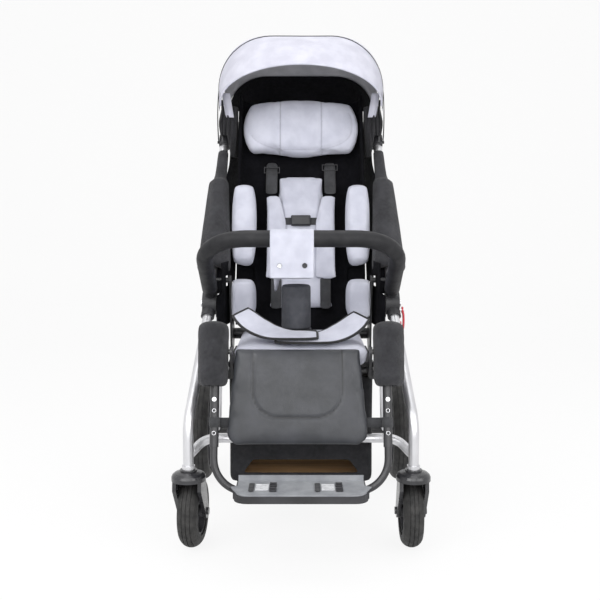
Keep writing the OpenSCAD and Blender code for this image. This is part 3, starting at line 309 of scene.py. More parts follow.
def stuffed(width, length, thick, crown, top_width=None, corner=0.25, draw=0.015, cuts=(11, 9)):
    """A block from z = 0 up to thick: crowned in front, rounded at its corners, drawn in at its sides."""
    bm = bmesh.new()
    bmesh.ops.create_cube(bm, size=2)
    for axis, count in ((0, cuts[0]), (1, cuts[1]), (2, 3)):
        cut_across(bm, axis, count)
    upper = top_width or width
    for v in bm.verts:
        u, t, w = v.co
        bulge = 1 - 0.05 * abs(w) ** 3
        wide = (width + (upper - width) * (t + 1) / 2) / 2
        x = wide * u * bulge * math.sqrt(1 - corner * t * t / 2) * (1 - draw * (1 - t * t))
        y = length / 2 * t * bulge * math.sqrt(1 - corner * u * u / 2) * (1 - draw * (1 - u * u))
        dome = (1 - u ** 4) * (1 - t ** 4)
        v.co = Vector((x, y, (w + 1) / 2 * (thick - crown * (1 - dome))))
    return bm


def swell(piece, cap, voxel=0.006, pressure=4.0, soften=4):
    """Stuffs a closed cover: eases its corners and blows it up, no point moving further than cap."""
    voxels = piece.modifiers.new("voxels", "REMESH")
    voxels.mode = "VOXEL"
    voxels.voxel_size = voxel
    ease = piece.modifiers.new("ease", "SMOOTH")
    ease.iterations = soften
    mats = list(piece.data.materials)
    seen = piece.evaluated_get(bpy.context.evaluated_depsgraph_get())
    mesh = bpy.data.meshes.new_from_object(seen)
    piece.modifiers.clear()
    piece.data = mesh
    mesh.materials.clear()
    for mat in mats:
        mesh.materials.append(mat)
    start = np.array([v.co for v in mesh.vertices])
    cover = piece.modifiers.new("cover", "CLOTH")
    cover.settings.use_pressure = True
    cover.settings.uniform_pressure_force = pressure
    cover.settings.effector_weights.gravity = 0
    cover.settings.quality = 4
    scene = bpy.context.scene
    for step in range(1, 21):
        scene.frame_set(step)
    blown = piece.evaluated_get(bpy.context.evaluated_depsgraph_get()).to_mesh()
    moved = np.array([v.co for v in blown.vertices]) - start
    far = np.linalg.norm(moved, axis=1, keepdims=True)
    moved *= np.minimum(1.0, cap / np.maximum(far, 1e-9))
    piece.modifiers.clear()
    scene.frame_set(1)
    for v, shift in zip(mesh.vertices, moved):
        v.co += Vector(shift)
    for face in mesh.polygons:
        face.use_smooth = True
    return piece


# Painted shade in the sewn creases: the colour turns towards dark where the seam weight is high.
def paint_shade_in_seams(mat, dark):
    tree = mat.node_tree
    shader = tree.nodes["Principled BSDF"]
    ramp = shader.inputs["Base Color"].links[0].from_socket
    seam = tree.nodes.new("ShaderNodeAttribute")
    seam.attribute_name = "seam"
    dip = tree.nodes.new("ShaderNodeMapRange")
    dip.inputs["From Min"].default_value = 0.45
    dip.inputs["From Max"].default_value = 1.0
    tree.links.new(seam.outputs["Fac"], dip.inputs["Value"])
    mix = tree.nodes.new("ShaderNodeMix")
    mix.data_type = "RGBA"
    mix.inputs["B"].default_value = (*dark, 1.0)
    tree.links.new(dip.outputs["Result"], mix.inputs["Factor"])
    tree.links.new(ramp, mix.inputs["A"])
    tree.links.new(mix.outputs["Result"], shader.inputs["Base Color"])


light_knit = soft_cloth("light_knit", (0.52, 0.53, 0.62), (0.62, 0.63, 0.72), 520, 0.2)
# Painted shade, dark grey-blue, in the seams of the light knit.
paint_shade_in_seams(light_knit, (0.20, 0.20, 0.25))
low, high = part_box("seat_cushion")
seat_place = Matrix.Translation((0, (low[1] + high[1]) / 2, low[2]))
bm = stuffed(0.322, 0.316, 0.047, 0.006, corner=0.03, draw=0.004)
for v in bm.verts:
    v.co.x *= 1 + 0.06 * max(0.0, v.co.z / 0.047 - 0.4) / 0.6
shift_all(bm, seat_place @ Matrix.Translation((0, 0, 0.001)))
seat = put_in_scene(bm, "seat_cushion_cover", light_knit)
swell(seat, 0.004)
smooth_over(seat)
settle(seat, "chassis", "seat_cushion")


# Pommel: a foam block between the thighs, in charcoal neoprene on a round foot.
# Its cover is glued with one seam down the back.
def round_edges(bm, edges, offset, segments):
    bmesh.ops.bevel(bm, geom=edges, offset=offset, offset_type="OFFSET", segments=segments, profile=0.5,
                    affect="EDGES", material=-1)


neoprene, *_ = grained("charcoal_neoprene", (0.045, 0.047, 0.056), 0.75,
    tint=((30, 4), (0.034, 0.036, 0.044), (0.058, 0.060, 0.070)),
    wear=((90, 4), 0.66, 0.84), grain=((1500, 3), 0.0004, 0.5))
low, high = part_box("pommel")
bm = bmesh.new()
bmesh.ops.create_cone(bm, cap_ends=True, segments=64, radius1=0.0368, radius2=0.0362, depth=high[2] - low[2])
rims = [e for e in bm.edges if abs(e.verts[0].co.z - e.verts[1].co.z) < 1e-6]
round_edges(bm, rims, 0.007, 5)
bmesh.ops.translate(bm, verts=bm.verts[:], vec=(Vector(low) + Vector(high)) / 2)
pommel = put_in_scene(bm, "pommel_cover", neoprene)
settle(pommel, "chassis", "pommel")


# Thigh wings: two padded belt ends that cross on the seat in front of the pommel.
# Thin foam in light knit, bound in black tape all round.
def tape_along(name, points, radius, mat, closed=True):
    line = bpy.data.curves.new(name, "CURVE")
    line.dimensions = "3D"
    line.bevel_depth = radius
    line.bevel_resolution = 2
    line.use_fill_caps = not closed
    run = line.splines.new("POLY")
    run.points.add(len(points) - 1)
    for spot, p in zip(run.points, points):
        spot.co = (*p, 1.0)
    run.use_cyclic_u = closed
    bent = bpy.data.objects.new(name + "_line", line)
    bpy.context.scene.collection.objects.link(bent)
    mesh = bpy.data.meshes.new_from_object(bent.evaluated_get(bpy.context.evaluated_depsgraph_get()))
    bpy.data.objects.remove(bent)
    return link_mesh(mesh, name, mat)


stem_y = 0.34395  # how far the caster stems stand in front of the middle
binding_black = soft_cloth("binding_black", (0.010, 0.010, 0.011), (0.022, 0.022, 0.025), 700, 0.1)
swing, swing_run, climb, climb_run = 0.062, 0.12, 0.052, 0.1
for side, hand, tip, lift in ((1, "right", -0.062, 0.00365), (-1, "left", -0.040, 0.01295)):
    def wing_at(a, b, c):
        """Point at a along the wing, b across it and c through it, each from -1 to 1."""
        x = tip + (0.150 - tip) * (a + 1) / 2
        up = max(0.0, (x - 0.06) / climb_run)
        aside = max(0.0, (x - 0.04) / swing_run)
        tilt = 0.12 + 0.26 * min(1.0, max(0.0, (x - 0.02) / 0.07))
        mid = Vector((x, 0.066 - stem_y + swing * aside ** 2, 0.500 + 0.034 * tilt + lift + climb * up ** 2))
        out = Vector((-2 * swing * aside / swing_run, 1, tilt)).normalized()
        rise = Vector((-2 * climb * up / climb_run, -tilt, 1)).normalized()
        reach = 0.0370 * (1 - 0.28 * abs(a) ** 6)
        return mid + out * reach * b + rise * 0.0042 * c * (1 - 0.45 * b ** 4) * (1 - 0.4 * a ** 8)

    bm = bmesh.new()
    bmesh.ops.create_cube(bm, size=2)
    for axis, count in ((0, 23), (1, 9)):
        cut_across(bm, axis, count)
    for v in bm.verts:
        p = wing_at(*v.co)
        v.co = Vector((p.x * side, p.y, p.z))
    face_out(bm)
    wing = put_in_scene(bm, "thigh_wing_" + hand, light_knit)
    smooth_over(wing)
    rim = [(k / 16, 1) for k in range(-16, 17)] + [(1, k / 4) for k in range(3, -4, -1)]
    rim += [(k / 16, -1) for k in range(16, -17, -1)] + [(-1, k / 4) for k in range(-3, 4)]
    path = [wing_at(a * 0.992, b * 0.975, 0) for a, b in rim]
    tape = tape_along(wing.name + "_binding", [(p.x * side, p.y, p.z) for p in path], 0.0034, binding_black)
    settle(wing, "chassis", "thigh_wings")
    settle(tape, "chassis")


# Hip pads: two foam blocks in light knit beside the seat, fixed to the bracket plates.
# Covers sewn round their edges.
def pad_between(name, node, part, place, width, length, thick, crown, mat, cap=0.004, voxel=0.0055, **form):
    bm = stuffed(width, length, thick, crown, **form)
    shift_all(bm, place)
    piece = put_in_scene(bm, name, mat)
    swell(piece, cap, voxel)
    smooth_over(piece)
    settle(piece, part, node)
    return piece


def facing_in(side):
    """Turns a pad so that its crowned face looks at the child from one side of the seat."""
    return Matrix.Rotation(math.radians(-90 * side), 4, "Z") @ turned_up


turned_up = Matrix.Rotation(math.radians(90), 4, "X")
both_sides = ((-1, "left"), (1, "right"))
for side, hand in both_sides:
    hip = pad_between("hip_pad_" + hand, "hip_pads", "chassis",
                      Matrix.Translation((side * 0.1815, 0.288 - stem_y, 0.583)) @ facing_in(side),
                      0.090, 0.106, 0.062, 0.010, light_knit, corner=0.5, cuts=(9, 9))


# Arm pads: padded sleeves round the upper tubes, thin at the neck and full below.
# Black polyester over foam, closed by a zip at the back, with long folds.
def turn_round(bm, outline, steps, place=Matrix()):
    """Spins a closed outline of (radius, height) points round the upright axis of place."""
    ring = [bm.verts.new(place @ Vector((r, 0, z))) for r, z in outline]
    edges = [bm.edges.new((ring[k - 1], ring[k])) for k in range(len(ring))]
    bmesh.ops.spin(bm, geom=ring + edges, cent=place.translation, axis=place.to_3x3() @ Vector((0, 0, 1)),
                   angle=math.tau, steps=steps, use_merge=True)
    bmesh.ops.remove_doubles(bm, verts=bm.verts[:], dist=1e-5)


pad_cloth = soft_cloth("charcoal_cloth", (0.014, 0.014, 0.017), (0.030, 0.030, 0.035), 420, 0.1)
pivot = Vector((0.237, 0.243 - stem_y, 0.576))
tube_way = (Vector((0.219, 0.560 - stem_y, 1.045)) - pivot).normalized()
pad_low, pad_high, end_gap = 0.654, 1.010, 0.018
foot = pivot + tube_way * ((pad_low - 0.576) / tube_way.z)
length = (pad_high - end_gap * tube_way.z - pad_low) / tube_way.z
body = 0.71 * length
outline = [(0.0128, 0.002), (0.030, 0.001), (0.040, 0.004), (0.0448, 0.012)]
outline += [(0.0458 - 0.0165 * k / 10, 0.02 + (body - 0.035) * k / 10) for k in range(11)]
outline += [(0.0285, body - 0.008), (0.0225, body - 0.001), (0.0166, body + 0.005), (0.0156, length - 0.024),
            (0.0140, length - 0.020), (0.0128, length - 0.020)]
for side, hand in both_sides:
    bm = bmesh.new()
    turn_round(bm, outline, 40)
    for v in bm.verts:
        r = math.hypot(v.co.x, v.co.y)
        if r > 0.0150:
            a = math.atan2(v.co.y, v.co.x)
            h = v.co.z / length
            fold = 0.035 * math.sin(3 * a + 2.2 * h + side) + 0.02 * math.sin(7 * a - 5 * h)
            fold += 0.018 * math.sin(26 * h + 2 * a) * (0.3 + 0.7 * math.sin(a) ** 2)
            grow = 1 + fold * min(1.0, (r - 0.015) / 0.012) - 0.03
            v.co.x = v.co.x * grow + 0.006 * h * min(1.0, (r - 0.015) / 0.012)
            v.co.y *= grow * 0.94
    face_out(bm)
    turn = Vector((0, 0, 1)).rotation_difference(tube_way).to_matrix().to_4x4()
    shift_all(bm, Matrix.Translation(foot) @ turn)
    if side < 0:
        bmesh.ops.scale(bm, vec=(-1, 1, 1), verts=bm.verts[:])
        bmesh.ops.reverse_faces(bm, faces=bm.faces[:])
    sleeve = put_in_scene(bm, "arm_pad_" + hand, pad_cloth)
    smooth_over(sleeve)
    settle(sleeve, "chassis", "arm_pads")


# Side panels: black cloth from each arm pad back past the shell, and down beside the hips.
# Black brushed polyester sewn to the arm pads, loose at the back so that the seat can recline; its
# near-black colour is painted shade.
def area_of(bm):
    return sum(f.calc_area() for f in bm.faces)


def flat_grid(across, along):
    bm = bmesh.new()
    bmesh.ops.create_grid(bm, x_segments=across, y_segments=along, size=1)
    return bm


# A darker copy of the black cloth with little specular: painted shade for the cloth inside the seat, shell,
# gussets and canopy curtain.
black_in_painted_shade = soft_cloth("black_in_painted_shade", (0.0018, 0.0018, 0.0028), (0.0042, 0.0042, 0.0060), 420, 0.0)
black_in_painted_shade.node_tree.nodes["Principled BSDF"].inputs["Specular IOR Level"].default_value = 0.12
up_way = Vector((0, tube_way.y, tube_way.z)).normalized()
back_way = up_way.cross(Vector((1, 0, 0)))
for side, hand in both_sides:
    for part, across_n, up_n in (("back", 10, 24), ("hip", 12, 18)):
        bm = flat_grid(across_n, up_n)
        for v in bm.verts:
            t, h = (v.co.x + 1) / 2, (v.co.y + 1) / 2
            crease = 0.0011 * math.sin(9 * h + 4 * t + side) * math.sin(math.pi * t)
            if part == "back":
                back = -0.006 + t * (0.097 - 0.050 * max(0.0, (h - 0.7) / 0.3))
                p = Vector((0, -0.0415, 0.664)) + up_way * (0.404 + 0.676 * back) * h + back_way * back
                out = 0.2100 - 0.0085 * min(1.0, max(0.0, (h - 0.70) / 0.15))
                p.x = out - (out - 0.1822) * t + crease
            else:
                p = Vector((0.2030 - 0.0122 * t + crease, -0.1365 + 0.1220 * t, 0.5145 + 0.168 * h))
                if p.z < 0.600:
                    p.x += 0.0135 * max(0.0, (0.14 - t) / 0.14)
            v.co = Vector((p.x * side, p.y, p.z))
        if part == "hip":
            link = [v for v in bm.verts if math.hypot(v.co.y + 0.0625, v.co.z - 0.633) < 0.0105]
            bmesh.ops.delete(bm, geom=link, context="VERTS")
        face_out(bm)
        area = area_of(bm)
        panel = put_in_scene(bm, part + "_panel_" + hand, black_in_painted_shade)
        thicken(panel, 0.0018)
        settle(panel, "chassis", "arm_pads")
    bm = flat_grid(5, 10)
    for v in bm.verts:
        t, h = (v.co.x + 1) / 2, (v.co.y + 1) / 2
        z = 0.6000 + 0.064 * h
        y = -0.106 + 0.676 * (z - 0.576) - 0.002 * math.sin(6 * t)
        v.co = Vector((side * (0.2032 + 0.0195 * t), y, z))
    face_out(bm)
    web = put_in_scene(bm, "fold_web_" + hand, black_in_painted_shade)
    thicken(web, 0.0016)
    settle(web, "chassis")


# Back shell: the black padded back whose sides curl forward round the child.
# Foam laminated between two black cloths, sleeved over the back frame.
lean = Matrix.Translation((0, 0.375 - stem_y, 0.478)) @ Matrix.Rotation(math.radians(-20), 4, "X")
half_flat, curl, wall = 0.128, 0.045, 0.0095
run = half_flat + curl * math.pi / 2 + 0.022
bm = flat_grid(44, 36)
for v in bm.verts:
    s = v.co.x * run
    up = -0.008 + (v.co.y + 1) / 2 * 0.697
    m = abs(s)
    if m <= half_flat:
        x, y = m, 0.0
    elif m <= half_flat + curl * math.pi / 2:
        a = (m - half_flat) / curl
        x, y = half_flat + curl * math.sin(a), -curl * (1 - math.cos(a))
    else:
        x, y = half_flat + curl, -curl - (m - half_flat - curl * math.pi / 2)
    pull = 0.0016 * math.sin(9 * v.co.y + 3 * v.co.x) * (1 - abs(v.co.x) ** 4)
    v.co = lean @ Vector((math.copysign(x, s), y - 0.0058 + min(0.0, pull), up))
below = lean.inverted()
hips = [f for f in bm.faces
        if (below @ f.calc_center_median()).z < 0.178 and abs(f.calc_center_median().x) > 0.126]
bmesh.ops.delete(bm, geom=hips, context="FACES")
face_out(bm)
# The shell's cloth is the black darkened as painted shade.
shell = put_in_scene(bm, "back_shell_cover", black_in_painted_shade)
thicken(shell, wall)
smooth_over(shell)
settle(shell, "backrest", "back_shell")


# Waist gussets: black cloth at both sides of the shell below its wings, in front of the back frame.
# Woven polyester sewn to the shell's edge.
for side, hand in both_sides:
    bm = flat_grid(5, 16)
    for v in bm.verts:
        t, h = (v.co.x + 1) / 2, (v.co.y + 1) / 2
        ripple = 0.0008 * math.sin(8 * h)
        v.co = lean @ Vector((side * (0.1255 + 0.0555 * t), -0.0014 - ripple, 0.024 + 0.206 * h))
    face_out(bm)
    gusset = put_in_scene(bm, "waist_gusset_" + hand, black_in_painted_shade)
    thicken(gusset, 0.0016)
    settle(gusset, "backrest")


# Back pad: the long light pad down the middle of the back, wider at the seat.
# Foam in light knit with a sewn edge, held to the shell by touch tape.
def on_back(x, y, up):
    return lean @ Matrix.Translation((x, y, up)) @ turned_up


back_pad = pad_between("back_pad_cover", "back_pad", "backrest", on_back(0, -0.0115, 0.2595),
                       0.181, 0.397, 0.024, 0.008, light_knit, corner=0.06, draw=0.01,
                       top_width=0.127, cuts=(9, 15))


# Side pads: the two thoracic supports that stand forward from the back's sides.
# Shaped foam in light knit on a steel wing, screwed to the shell from behind.
for side, hand in both_sides:
    rib = pad_between("side_pad_" + hand, "side_pads", "backrest",
                      lean @ Matrix.Translation((side * 0.1665, -0.0845, 0.286)) @ facing_in(side),
                      0.060, 0.236, 0.043, 0.009, light_knit, corner=0.42, cuts=(7, 15))
    for v in rib.data.vertices:
        p = lean.inverted() @ v.co
        if p.y < -0.079:
            v.co.x += side * 0.017 * min(1.0, (-0.079 - p.y) / 0.010) * max(0.0, (abs(p.x) - 0.135) / 0.032)


# Shoulder pads: the light covers on the lower run of each shoulder strap.
# Thin foam in light knit, closed behind the strap by touch tape.
for side, hand in both_sides:
    strip = pad_between("shoulder_pad_" + hand, "shoulder_pads", "backrest",
                        on_back(side * 0.077, -0.0389, 0.266), 0.042, 0.248, 0.0115, 0.004, light_knit,
                        cap=0.002, voxel=0.004, corner=0.15, draw=0.01, cuts=(7, 17))
    for v in strip.data.vertices:
        p = lean.inverted() @ v.co
        inner = max(0.0, 0.085 - abs(p.x)) / 0.030
        v.co.x -= side * inner * 0.022 * min(1.0, max(0.0, (0.385 - p.z) / 0.075))


# Harness: black shoulder webbing with ladder buckles at the shell, and a chest strap.
# Woven polyester tape, 36 mm wide above and 32 mm at the lap, through moulded buckles.
def plain_block(size):
    bm = bmesh.new()
    bmesh.ops.create_cube(bm, size=1)
    bmesh.ops.scale(bm, vec=size, verts=bm.verts[:])
    return bm


def verts_of(grown):
    return [g for g in grown["geom"] if isinstance(g, bmesh.types.BMVert)]


def draw_out(bm, points, way):
    """Draws a strip out of a line of points."""
    line = [bm.verts.new(p) for p in points]
    rows = [bm.edges.new((line[k], line[k + 1])) for k in range(len(line) - 1)]
    grown = bmesh.ops.extrude_edge_only(bm, edges=rows)
    bmesh.ops.translate(bm, verts=verts_of(grown), vec=way)


webbing = soft_cloth("black_webbing", (0.030, 0.031, 0.034), (0.052, 0.053, 0.058), 900, 0.08)
strap_x, shoulder_wide, lap_wide, chest_up = 0.083, 0.0360, 0.0320, 0.312
strap_run = [(-0.0118, 0.502), (-0.0160, 0.484), (-0.0260, 0.455), (-0.0355, 0.425), (-0.0425, 0.402),
             (-0.0440, 0.3915)]
for side, hand in both_sides:
    bm = bmesh.new()
    draw_out(bm, [(side * strap_x - shoulder_wide / 2, y, up) for y, up in strap_run], (shoulder_wide, 0, 0))
    shift_all(bm, lean)
    face_out(bm)
    strap = put_in_scene(bm, "shoulder_strap_" + hand, webbing)
    thicken(strap, 0.0018, -1)
    smooth_over(strap)
    settle(strap, "backrest", "harness_straps")
    bm = bmesh.new()
    lap_run = [(side * 0.0680 - lap_wide / 2, -0.0425 + 0.0006 * k, 0.150 - 0.010 * k) for k in range(10)]
    draw_out(bm, lap_run, (lap_wide, 0, 0))
    shift_all(bm, lean)
    face_out(bm)
    lower = put_in_scene(bm, "lap_strap_" + hand, webbing)
    thicken(lower, 0.0018, -1)
    smooth_over(lower)
    settle(lower, "backrest", "harness_straps")
    bm = flat_grid(1, 1)
    bmesh.ops.scale(bm, vec=(0.0225, 0.0095, 1), verts=bm.verts[:])
    bars = bmesh.ops.inset_region(bm, faces=bm.faces[:], thickness=0.0032, use_boundary=True)["faces"]
    bmesh.ops.delete(bm, geom=[f for f in bm.faces if f not in bars], context="FACES_ONLY")
    bmesh.ops.solidify(bm, geom=bm.faces[:], thickness=0.003)
    face_out(bm)
    round_edges(bm, bm.edges[:], 0.0008, 2)
    shift_all(bm, on_back(side * strap_x, -0.0235, 0.477 + 0.004 * side))
    ladder = put_in_scene(bm, "ladder_buckle_" + hand, black_nylon, smooth=False)
    settle(ladder, "backrest")
bm = plain_block((0.110, 0.0020, 0.020))
cut_across(bm, 0, 9)
shift_all(bm, lean @ Matrix.Translation((0, -0.0413, chest_up)))
chest = put_in_scene(bm, "chest_strap", webbing, smooth=False)
settle(chest, "backrest", "harness_straps")


# Chest buckle: a side-release clip on the chest strap.
# Two moulded nylon halves with a raised middle.
bm = plain_block((0.055, 0.0085, 0.031))
round_edges(bm, bm.edges[:], 0.0032, 3)
front = [f for f in bm.faces if f.normal.y < -0.9]
bmesh.ops.inset_region(bm, faces=front, thickness=0.004, depth=0)
bmesh.ops.translate(bm, verts=list({v for f in front for v in f.verts}), vec=(0, -0.0036, 0))
shift_all(bm, lean @ Matrix.Translation((0, -0.0470, chest_up)))
clip = put_in_scene(bm, "chest_clip", black_nylon, smooth=False)
settle(clip, "backrest", "chest_buckle")


# Head cushion: the wide light pillow on its sliding plate.
# Three foam bodies in one cover, parted by two seams, with a face panel sewn in round the lower edge.
def sew(piece, place, seams, depth, width):
    """Pulls the cover in along seams, each a distance from a point of the pad's frame and a strength."""
    back = place.inverted()
    inward = -(place.to_3x3() @ Vector((0, 0, 1)))
    # The seam weight both pulls the cover in and places the painted shade in its colour.
    line = piece.data.attributes.new("seam", "FLOAT", "POINT")
    for i, v in enumerate(piece.data.vertices):
        p = back @ v.co
        near = max(pull * math.exp(-(seam(p) / width) ** 2) for seam, pull in seams)
        line.data[i].value = near
        if v.normal.dot(inward) < 0.2:
            v.co += inward * depth * near


head_place = on_back(0, -0.0225, 0.5885)
bm = stuffed(0.336, 0.166, 0.072, 0.028, corner=0.50, draw=0.004, cuts=(19, 11))
for v in bm.verts:
    if v.co.y < -0.03:
        v.co.y -= 0.008 * math.exp(-(v.co.x / 0.055) ** 2) * min(1.0, (-0.03 - v.co.y) / 0.04)
shift_all(bm, head_place)
head = put_in_scene(bm, "head_cushion_cover", light_knit)
swell(head, 0.007, 0.005, soften=14)


def face_seam(p):
    """Distance from the oval seam inside the cushion's edge, which shows below the middle only."""
    oval = ((abs(p.x) / 0.145) ** 2.6 + (abs(p.y) / 0.077) ** 2.6) ** (1 / 2.6)
    return abs(oval - 1) * 0.077 + (0 if p.z > 0.012 and p.y < (0.04 if p.x > 0 else -0.03) else 0.05)


sew(head, head_place, [(lambda p: min(abs(p.x - 0.059), abs(p.x + 0.059)), 1.0), (face_seam, 0.6)],
    0.0042, 0.0032)
smooth_over(head)
settle(head, "headrest", "head_cushion")


# Hanger pads: black padded sleeves over the tops of the leg rest hangers.
# Polyester over foam, gathered round the knee bosses.
knee = Matrix.Translation((0, 0.008 - stem_y, 0.486)) @ Matrix.Rotation(math.radians(-15), 4, "X")
outline = [(0.0175, -0.070), (0.0205, -0.0800), (0.0262, -0.0815), (0.0325, -0.0765)]
outline += [(0.0368, -0.066 + 0.120 * k / 11) for k in range(12)]
outline += [(0.0345, 0.0615), (0.027, 0.0685), (0.014, 0.0720), (0.0004, 0.0725)]
outline += [(0.0004, 0.0405), (0.0175, 0.0405)]
for side, hand in both_sides:
    bm = bmesh.new()
    turn_round(bm, outline, 36)
    for v in bm.verts:
        r = math.hypot(v.co.x, v.co.y)
        if r > 0.0150:
            a = math.atan2(v.co.y, v.co.x)
            h = v.co.z / 0.13
            fold = 0.018 * math.sin(4 * a + 3 * h + side) + 0.016 * math.sin(29 * h + 2 * a + side) - 0.012
            fold += 0.055 * math.sin(12 * a + side) * max(0.0, min(1.0, (-0.058 - v.co.z) / 0.018))
            if r > 0.020:
                v.co.x *= 1 + fold
                v.co.y *= 1 + fold
    face_out(bm)
    shift_all(bm, knee @ Matrix.Translation((side * 0.2068, 0, 0)))
    sleeve = put_in_scene(bm, "hanger_pad_" + hand, pad_cloth)
    smooth_over(sleeve)
    settle(sleeve, "legrest", "hanger_pads")


# Calf panel: the padded leatherette panel that hangs between the hangers.
# Foam in grained dark grey leatherette with one U-shaped seam, tied back by two loops.
leatherette, tree, shader = plain_finish("dark_leatherette", (0.030, 0.032, 0.038), 0.42)
tint_between(tree, shader, noise_on(tree, 20, 5), (0.022, 0.024, 0.028), (0.036, 0.038, 0.045))
rough_between(tree, shader, noise_on(tree, 130, 4), 0.36, 0.50)
cells = tree.nodes.new("ShaderNodeTexVoronoi")
cells.inputs["Scale"].default_value = 620
where = tree.nodes.new("ShaderNodeTexCoord")
tree.links.new(where.outputs["Object"], cells.inputs["Vector"])
raised_by(tree, shader, cells.outputs["Distance"], 0.0004, 0.35)
# Painted shade, near black, in the leatherette's U-shaped seam crease.
paint_shade_in_seams(leatherette, (0.004, 0.004, 0.005))
leg_place = knee @ Matrix.Translation((-0.0085, 0.0122, -0.1042)) @ turned_up
bm = stuffed(0.344, 0.2310, 0.0215, 0.006, top_width=0.302, corner=0.04, draw=0.008, cuts=(21, 17))
for v in bm.verts:
    drop = max(0.0, -0.0780 - v.co.y) / 0.0380
    beyond = max(0.0, abs(v.co.x) - 0.1320)
    v.co.x -= math.copysign(beyond * (1 - math.sqrt(max(0.0, 1 - min(1.0, drop) ** 2.4))), v.co.x)
shift_all(bm, leg_place)
calf = put_in_scene(bm, "calf_panel_cover", leatherette)
swell(calf, 0.0025, 0.005)


def u_seam(p):
    """Distance from the seam that runs down one side, across near the lower edge and up the other."""
    side_x, turn_y, bend = 0.105, 0.010, 0.060
    x, y = abs(p.x), p.y
    if y > turn_y:
        return abs(x - side_x)
    if x < side_x - bend:
        return abs(y - turn_y + bend)
    return abs(math.hypot(x - side_x + bend, y - turn_y) - bend)


sew(calf, leg_place, [(u_seam, 1.0)], 0.0030, 0.0030)
for v in calf.data.vertices:
    p = leg_place.inverted() @ v.co
    if p.z > 0.012:
        at_side = max(0.0, (abs(p.x) - 0.10) / 0.05) * max(0.0, 1 - ((p.y - 0.02) / 0.07) ** 2)
        fold = math.sin(75 * p.y + 30 * abs(p.x)) * at_side
        v.co += leg_place.to_3x3() @ Vector((0, 0, 0.0011 * fold))
smooth_over(calf)
settle(calf, "legrest", "calf_panel")


# Hanger eyelets: pressed rims round the adjusting holes in front of the hangers.
# Thin bright steel, one for each hole below the snap button.
hanger_x = 0.202
eyelet_rim = ((0.0033, 0.0), (0.0033, 0.0011), (0.0040, 0.0015), (0.0050, 0.0010), (0.0053, 0.0))
for side, hand in both_sides:
    bm = bmesh.new()
    for up in (-0.138, -0.190):
        turn_round(bm, eyelet_rim, 24, knee @ Matrix.Translation((side * hanger_x, -0.0098, up)) @ turned_up)
    face_out(bm)
    eyelets = put_in_scene(bm, "hanger_eyelets_" + hand, bright_steel)
    settle(eyelets, "legrest")


# Calf straps: webbing loops round the hangers with tabs behind the calf panel.
# Woven tape, sewn to the back of the panel.
for side, hand in both_sides:
    bm = bmesh.new()
    start = bm.verts.new((0.0120, 0, 0))
    bmesh.ops.spin(bm, geom=[start], cent=(0, 0, 0), axis=(0, 0, 1), angle=math.tau, steps=32,
                   use_merge=True)
    bmesh.ops.remove_doubles(bm, verts=bm.verts[:], dist=1e-5)
    grown = bmesh.ops.extrude_edge_only(bm, edges=bm.edges[:])
    bmesh.ops.translate(bm, verts=verts_of(grown), vec=(0, 0, 0.023))
    draw_out(bm, [(-0.070 + 0.010 * k, 0.0140, 0) for k in range(8)], (0, 0, 0.023))
    bmesh.ops.scale(bm, vec=(side, 1, 1), verts=bm.verts[:])
    shift_all(bm, knee @ Matrix.Translation((side * hanger_x, 0, -0.1765)))
    face_out(bm)
    loop = put_in_scene(bm, "calf_loop_" + hand, webbing)
    thicken(loop, 0.0018)
    settle(loop, "legrest", "calf_straps")


# Footplate: a moulded black base with a lip, under a ribbed grey tread.
# Glass-filled nylon; the tread is a separate insert pressed on top.
clad(black_nylon, "footplate_base")
tread_grey, tree, shader = plain_finish("tread_grey", (0.32, 0.33, 0.35), 0.5)
tint_between(tree, shader, noise_on(tree, 26, 5), (0.25, 0.26, 0.28), (0.34, 0.35, 0.37))
rough_between(tree, shader, noise_on(tree, 90, 4), 0.36, 0.56)
ribs = tree.nodes.new("ShaderNodeTexWave")
ribs.bands_direction = "Y"
ribs.inputs["Scale"].default_value = 42
where = tree.nodes.new("ShaderNodeTexCoord")
tree.links.new(where.outputs["Object"], ribs.inputs["Vector"])
raised_by(tree, shader, ribs.outputs["Fac"], 0.0012, 0.6)
clad(tread_grey, "footplate_tread")


# Foot straps: two short webbing straps open on the tread beside pearl clasps and ladder buckles.
# Woven tape through moulded buckles.
def dished_block(size, rim, depth, edge):
    """A flat block whose top is sunk inside a rim."""
    bm = plain_block(size)
    top = [f for f in bm.faces if f.normal.z > 0.9]
    bmesh.ops.inset_region(bm, faces=top, thickness=rim, depth=-depth)
    round_edges(bm, [e for e in bm.edges if e.calc_face_angle(0) > 1], edge, 2)
    return bm


low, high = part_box("foot_straps")
pearl, *_ = grained("pearl_plastic", (0.72, 0.73, 0.75), 0.3,
    tint=((60, 4), (0.62, 0.63, 0.65), (0.78, 0.79, 0.81)),
    wear=((200, 3), 0.22, 0.42), grain=((300, 3), 0.0004, 0.4))
for hand, x in (("left", -0.085), ("right", 0.064)):
    bm = bmesh.new()
    draw_out(bm, [(x - 0.0335, low[1] + 0.0635 * j / 12, low[2] + 0.0012 + 0.0012 * abs(math.sin(j * 0.8)))
                  for j in range(13)], (0.013, 0, 0))
    face_out(bm)
    strap = put_in_scene(bm, "foot_strap_" + hand, webbing)
    thicken(strap, 0.0016)
    smooth_over(strap)
    settle(strap, "footplate", "foot_straps")
    bm = dished_block((0.0300, 0.0420, 0.0022), 0.0045, 0.0010, 0.0006)
    bmesh.ops.translate(bm, verts=bm.verts[:], vec=(x - 0.003, low[1] + 0.032, low[2] + 0.0014))
    clasp = put_in_scene(bm, "foot_clasp_" + hand, pearl, smooth=False)
    settle(clasp, "footplate", "foot_straps")
    for j, y in enumerate((low[1] + 0.014, low[1] + 0.048)):
        bm = dished_block((0.0155, 0.0225, 0.0044), 0.003, 0.0018, 0.0008)
        bmesh.ops.translate(bm, verts=bm.verts[:], vec=(x + 0.022, y, low[2] + 0.0025))
        buckle = put_in_scene(bm, "foot_buckle_%s_%d" % (hand, j + 1), black_nylon, smooth=False)
        settle(buckle, "footplate", "foot_straps")


